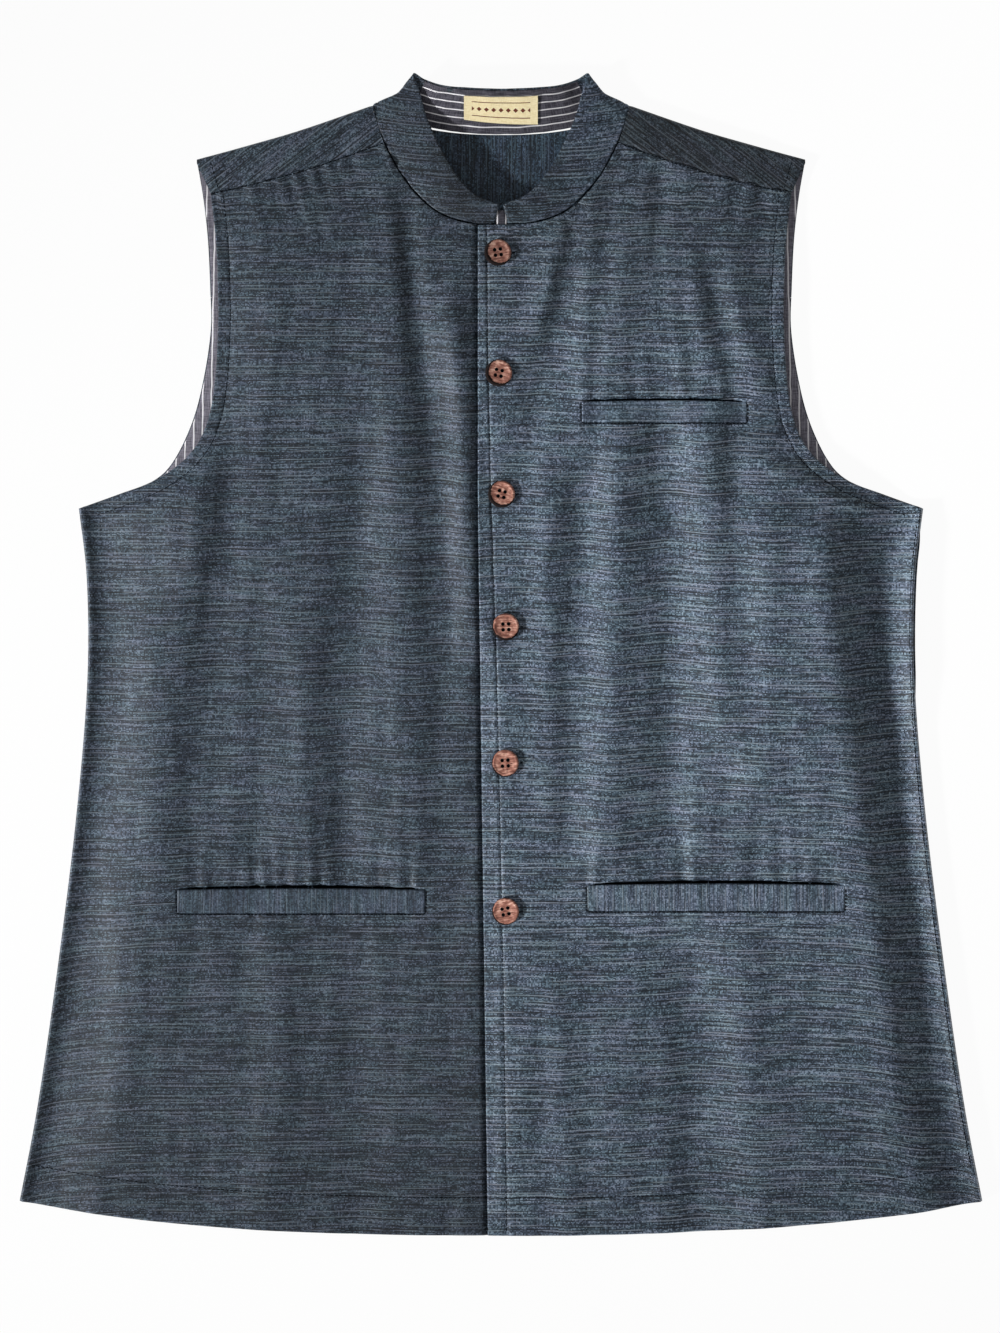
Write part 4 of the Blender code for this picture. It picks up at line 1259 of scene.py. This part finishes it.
def turnedButton(name, x, y, turn, leanX, leanY, burntAndShadowFrom, faceTone):
    spec = buttonForm
    bm = bmesh.new()
    points = [bm.verts.new((r * mm, 0, z * mm)) for r, z in spec["section"]]
    edges = [bm.edges.new(pair) for pair in zip(points, points[1:])]
    bmesh.ops.spin(bm, geom=points + edges, cent=(0, 0, 0), axis=(0, 0, 1),
                   angle=2 * math.pi, steps=64, use_merge=True)
    bmesh.ops.remove_doubles(bm, verts=bm.verts[:], dist=1e-6)
    bmesh.ops.recalc_face_normals(bm, faces=bm.faces[:])
    made = addObject(name, meshOf(bm, name), buttonShell)
    cutters = bmesh.new()
    for k in range(4):
        bmesh.ops.create_cone(cutters, cap_ends=True, segments=20,
                              radius1=spec["holeRadius"] * mm, radius2=spec["holeRadius"] * mm,
                              depth=8 * mm, matrix=Matrix.Translation(holeAt(k) * mm))
    cutter = addObject(name + "_holes", meshOf(cutters, name + "_holes"))
    holes = made.modifiers.new("Holes", "BOOLEAN")
    holes.operation = "DIFFERENCE"
    holes.object = cutter
    applied(made)
    bpy.data.objects.remove(cutter)
    made.data.set_sharp_from_angle(angle=math.radians(32))
    made.data.attributes.new("burnt", "FLOAT", "FACE")
    layer = made.data.uv_layers.new(name="cloth")
    rng = np.random.default_rng(int(abs(x * 10) + abs(y)))
    shift = rng.uniform(0, 0.2, 2)
    for loop in made.data.loops:
        co = made.data.vertices[loop.vertex_index].co
        layer.data[loop.index].uv = (co.x + shift[0], co.y + shift[1])
    # the walls of the holes are burnt, and the rim is burnt and painted with shadow, the painted
    # shadow wider on its low side
    dark = made.data.attributes["burnt"].data
    middle = Matrix.Rotation(-math.radians(turn), 2) @ Vector((leanX, leanY))
    middle *= spec["burntAndShadowShift"] * mm
    for face in made.data.polygons:
        reach = (face.center.xy - middle).length
        burnt = reach > burntAndShadowFrom * mm or abs(face.normal.z) < 0.5
        dark[face.index].value = 1.0 if burnt else faceTone
    ring = []
    for k in range(24):
        angle = 2 * math.pi * k / 24
        at = (x + spec["seatRing"] * math.cos(angle), y + spec["seatRing"] * math.sin(angle))
        ring.append(Vector((*at, heightOn(leftTree, *at))))
    slopeX = sum((p.x - x) * p.z for p in ring) / sum((p.x - x) ** 2 for p in ring) - leanX
    slopeY = sum((p.y - y) * p.z for p in ring) / sum((p.y - y) ** 2 for p in ring) - leanY
    centre = Vector((x, y, heightOn(leftTree, x, y)))
    proud = max(p.z - slopeX * (p.x - x) - slopeY * (p.y - y) for p in [*ring, centre])
    normal = Vector((-slopeX, -slopeY, 1)).normalized()
    seat = (Vector((x, y, proud)) + normal * spec["seat"]) * mm
    turned = (Matrix.Translation(seat) @ Vector((0, 0, 1)).rotation_difference(normal)
              .to_matrix().to_4x4() @ Matrix.Rotation(math.radians(turn), 4, "Z"))
    made.data.transform(turned)
    return made, turned


buttons = []
shanks = bmesh.new()
for number, spot in enumerate(buttonSpots):
    made, turned = turnedButton(f"button_{number + 1}_turned", *spot)
    buttons.append(made)
    for k in range(4):
        # thread in each hole, and down to the cloth
        at = holeAt(k) + Vector((0, 0, buttonForm["threadUp"]))
        bmesh.ops.create_cone(shanks, cap_ends=True, segments=8,
                              radius1=buttonForm["threadRadius"] * mm,
                              radius2=buttonForm["threadRadius"] * mm,
                              depth=buttonForm["threadLength"] * mm,
                              matrix=turned @ Matrix.Translation(at * mm))
buttonThread = addObject("button_thread", meshOf(shanks, "button_thread"), navyThread)
print("welts and buttons made")


def stitchRun(bm, line, tree, length, gap, radius, sink):
    # a row of stitches along a line of (x, y), lying on a surface
    spans = np.linalg.norm(np.diff(line, axis=0), axis=1)
    total = spans.sum()
    count = int(total / (length + gap))
    starts = np.arange(count) * (length + gap) / total
    ends = starts + length / total
    a, b = evenly(line, starts), evenly(line, ends)
    for p, q in zip(a, b):
        hp, hq = heightOn(tree, *p), heightOn(tree, *q)
        if hp is None or hq is None or abs(hp - hq) > 2.5:
            continue
        start, end = Vector((*p, hp - sink)), Vector((*q, hq - sink))
        middle = (start + end) / 2
        span = end - start
        stretch = Matrix.Diagonal((radius * mm, radius * mm, span.length / 2 * mm, 1))
        spin = span.to_track_quat("Z", "Y").to_matrix().to_4x4()
        bmesh.ops.create_uvsphere(bm, u_segments=6, v_segments=4, radius=1.0,
                                  matrix=Matrix.Translation(middle * mm) @ spin @ stretch)


def sewing(name, runs, material):
    bm = bmesh.new()
    for run in runs:
        stitchRun(bm, *run)
    mesh = meshOf(bm, name)
    mesh.shade_smooth()
    return addObject(name, mesh, material)


mirror = np.array([-1, 1])
# rows of stitches: length, gap, radius and how far they sink
topstitch = (2.6, 0.4, 0.36, 0.04)
# seam rows are nearly closed dark thread sunk in the seam: thread, and painted shade of the
# seam's groove
seamThreadShade = (2.6, 0.15, 0.44, 0.0)
fine = (2.2, 0.25, 0.46, -0.12)
ys = np.linspace(cut["hemY"] + 3, 279.0, 120)
edgeRun = np.stack([overEdgeX(ys) + edgeStitchAt(ys), ys], axis=1)
armRun = (armholeLine + frontPanel["armholeStitch"] * leftOf(armholeLine))[2:]
hemXs = np.linspace(-4, 312, 120)
hemRun = np.stack([hemXs, hemY(hemXs) + frontPanel["hemStitch"]], axis=1)
shoulderRun = frontOutline(True)[3] + np.array([0, -0.5])
sideRun = (sideLine + frontPanel["sideStitch"] * leftOf(sideLine))[2:-1]
yokeRun = np.array([(184.0, 298.0), (191.5, 324.0)])


def weltRuns(pocket, tree):
    # round the ends and the bottom of a welt
    name, low, high, top, bottom, *rest = pocket
    out, corner = weltForm["seamOut"], weltForm["corner"]
    low, high, bottom = low - out, high + out, bottom - out
    around = [(low, top - 0.5), (low, bottom + corner), (low + corner * 0.3, bottom + 0.5),
              (low + corner, bottom), (high - corner, bottom),
              (high - corner * 0.3, bottom + 0.5), (high, bottom + corner), (high, top - 0.5)]
    return (evenly(np.array(around), np.linspace(0, 1, 160)), tree, *fine)


leftSewing = sewing("left_front_stitching", [
    (edgeRun, leftTree, *topstitch), (armRun, leftTree, *topstitch),
    (hemRun, leftTree, *topstitch), (shoulderRun, leftTree, *seamThreadShade),
    (sideRun, leftTree, *seamThreadShade),
    weltRuns(pockets[0], leftTree), weltRuns(pockets[1], leftTree)], navyThread)
rightSewing = sewing("right_front_stitching", [
    (armRun * mirror, rightTree, *topstitch), (hemRun * mirror, rightTree, *topstitch),
    (shoulderRun * mirror, rightTree, *seamThreadShade), weltRuns(pockets[2], rightTree)],
    navyThread)
yokeSewing = sewing("yoke_stitching", [(yokeRun, yokeTree, *topstitch),
                                       (yokeRun * mirror, yokeTree, *topstitch)], navyThread)
# the sewn end of each buttonhole shows past its button
holeEnds = [(np.array([(x + 9.4, y + 0.2), (x + 11.9, y + 0.4)]), leftTree, 2.3, 0.1, 0.5, 0.0)
            for x, y, *rest in buttonSpots]
buttonholes = sewing("buttonhole_ends", holeEnds, navyThread)


def pocketBagShade(pocket, tree):
    # the pocket bag, seen in the mouth above the welt and painted dark for the shade there
    name, low, high, top, bottom, mouth, pucker = pocket
    columns, rows = int((high - low) / 2.5), 3

    def place(i, j):
        share = 0.03 + 0.94 * i / columns
        bow, width = mouthForm(mouth, share)
        x = low + (high - low) * share
        y = top + pocketShape["bow"] * bow + width * (0.1 + 0.85 * j / rows)
        z = np.array([heightOn(tree, *at) for at in zip(x, y)]) + 0.18
        return np.stack([x, y, z], axis=1), np.stack([x, y], axis=1), None

    return clothShell(name + "_bag_painted_shade", columns, rows, place, 0.1, (pocketShadeTwill,))


shadeBags = [pocketBagShade(pocket, tree)
           for pocket, tree in zip(pockets, (leftTree, leftTree, rightTree))]
print("sewing made")


# each piece, the parts of model.glb it stands for, its flat size, area and what it lies on;
# each is attached to the root and those parts hidden

sheets = [
    (rightFront, ["front_right"], (0.345, 0.735), 0.205, ["back_panel"]),
    (leftFront, ["front_left"], (0.345, 0.735), 0.205, ["back_panel", "front_right"]),
    (backCloth, ["back_panel"], (0.64, 0.62), 0.345, ["floor"]),
    (yokeCloth, ["yoke"], (0.42, 0.165), 0.060, ["floor"]),
    (collarCloth, ["collar"], (0.46, 0.033), None, ["front_left", "front_right"]),
    (facingShell, ["collar_facing"], (0.15, 0.032), None, ["collar"]),
    (labelShell, ["neck_label"], (0.0486, 0.021), None, ["collar_facing"]),
    (loopShell, ["neck_loop"], (0.010, 0.010), 0.00007, ["front_right"]),
    (rightArmhole, ["armhole_facing_right"], (0.030, 0.250), None, ["back_panel"]),
    (leftArmhole, ["armhole_facing_left"], (0.030, 0.250), None, ["back_panel"]),
    (weltShells[0], ["chest_welt"], (0.109, 0.0145), None, ["front_left"]),
    (weltShells[1], ["left_pocket_welt"], (0.170, 0.018), None, ["front_left"]),
    (weltShells[2], ["right_pocket_welt"], (0.164, 0.0165), None, ["front_right"]),
]
for piece, nodes, flatSize, area, under in sheets:
    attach(piece, "root")
    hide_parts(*nodes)
for number, piece in enumerate(buttons):
    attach(piece, "root")
    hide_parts(f"button_{number + 1}")
for piece in (buttonThread, leftSewing, rightSewing, yokeSewing, buttonholes, *shadeBags):
    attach(piece, "root")


# floor, lights and camera

studio = {
    "viewHeight": 879.8, "centre": (-0.66, -8.7), "distance": 3000.0,
    "keyFrom": (-0.82, -0.38, 0.405), "keyAim": (0.05, 0.01, 0.0), "keyDistance": 6.0,
    "keyRadius": 0.44, "keyCone": 7.1, "keyPower": 6600.0,
    "world": 0.35, "floor": "#3a3a3a", "floorGlow": 0.95, "floorHalf": 3.0, "floorDown": 0.2,
}
bm = bmesh.new()
bmesh.ops.create_grid(bm, x_segments=1, y_segments=1, size=studio["floorHalf"])
floorMesh = meshOf(bm, "floor")
# backlit opal acrylic: an even white with hardly any shadow on it
opal = newMaterial("opal acrylic, backlit", 0.9, 0.0, Base_Color=linear(studio["floor"]),
                   Emission_Color=linear("#ffffff"), Emission_Strength=studio["floorGlow"])
floor = addObject("floor", floorMesh, opal)
floorMesh.transform(Matrix.Translation((0, 0, -studio["floorDown"] * mm)))

scene = bpy.context.scene
scene.view_settings.view_transform = "Standard"
world = bpy.data.worlds.new("studio")
scene.world = world
world.use_nodes = True
world.node_tree.nodes["Background"].inputs[0].default_value = (1, 1, 1, 1)
world.node_tree.nodes["Background"].inputs[1].default_value = studio["world"]


# one large soft light from the lower left, fading towards the edges of the cloth
key = bpy.data.lights.new("key_light", "SPOT")
key.energy = studio["keyPower"]
key.shadow_soft_size = studio["keyRadius"]
key.spot_size = math.radians(studio["keyCone"])
key.spot_blend = 1.0
keyLight = bpy.data.objects.new("key_light", key)
aim = Vector(studio["keyFrom"]).normalized()
keyLight.location = Vector(studio["keyAim"]) + aim * studio["keyDistance"]
keyLight.rotation_euler = aim.to_track_quat("Z", "Y").to_euler()
scene.collection.objects.link(keyLight)
lens = bpy.data.cameras.new("camera")
lens.lens = lens.sensor_width * studio["distance"] / studio["viewHeight"]
lens.clip_end = 20.0
camera = bpy.data.objects.new("camera", lens)
camera.location = (studio["centre"][0] * mm, studio["centre"][1] * mm, studio["distance"] * mm)
scene.collection.objects.link(camera)
scene.camera = camera
print("studio set")
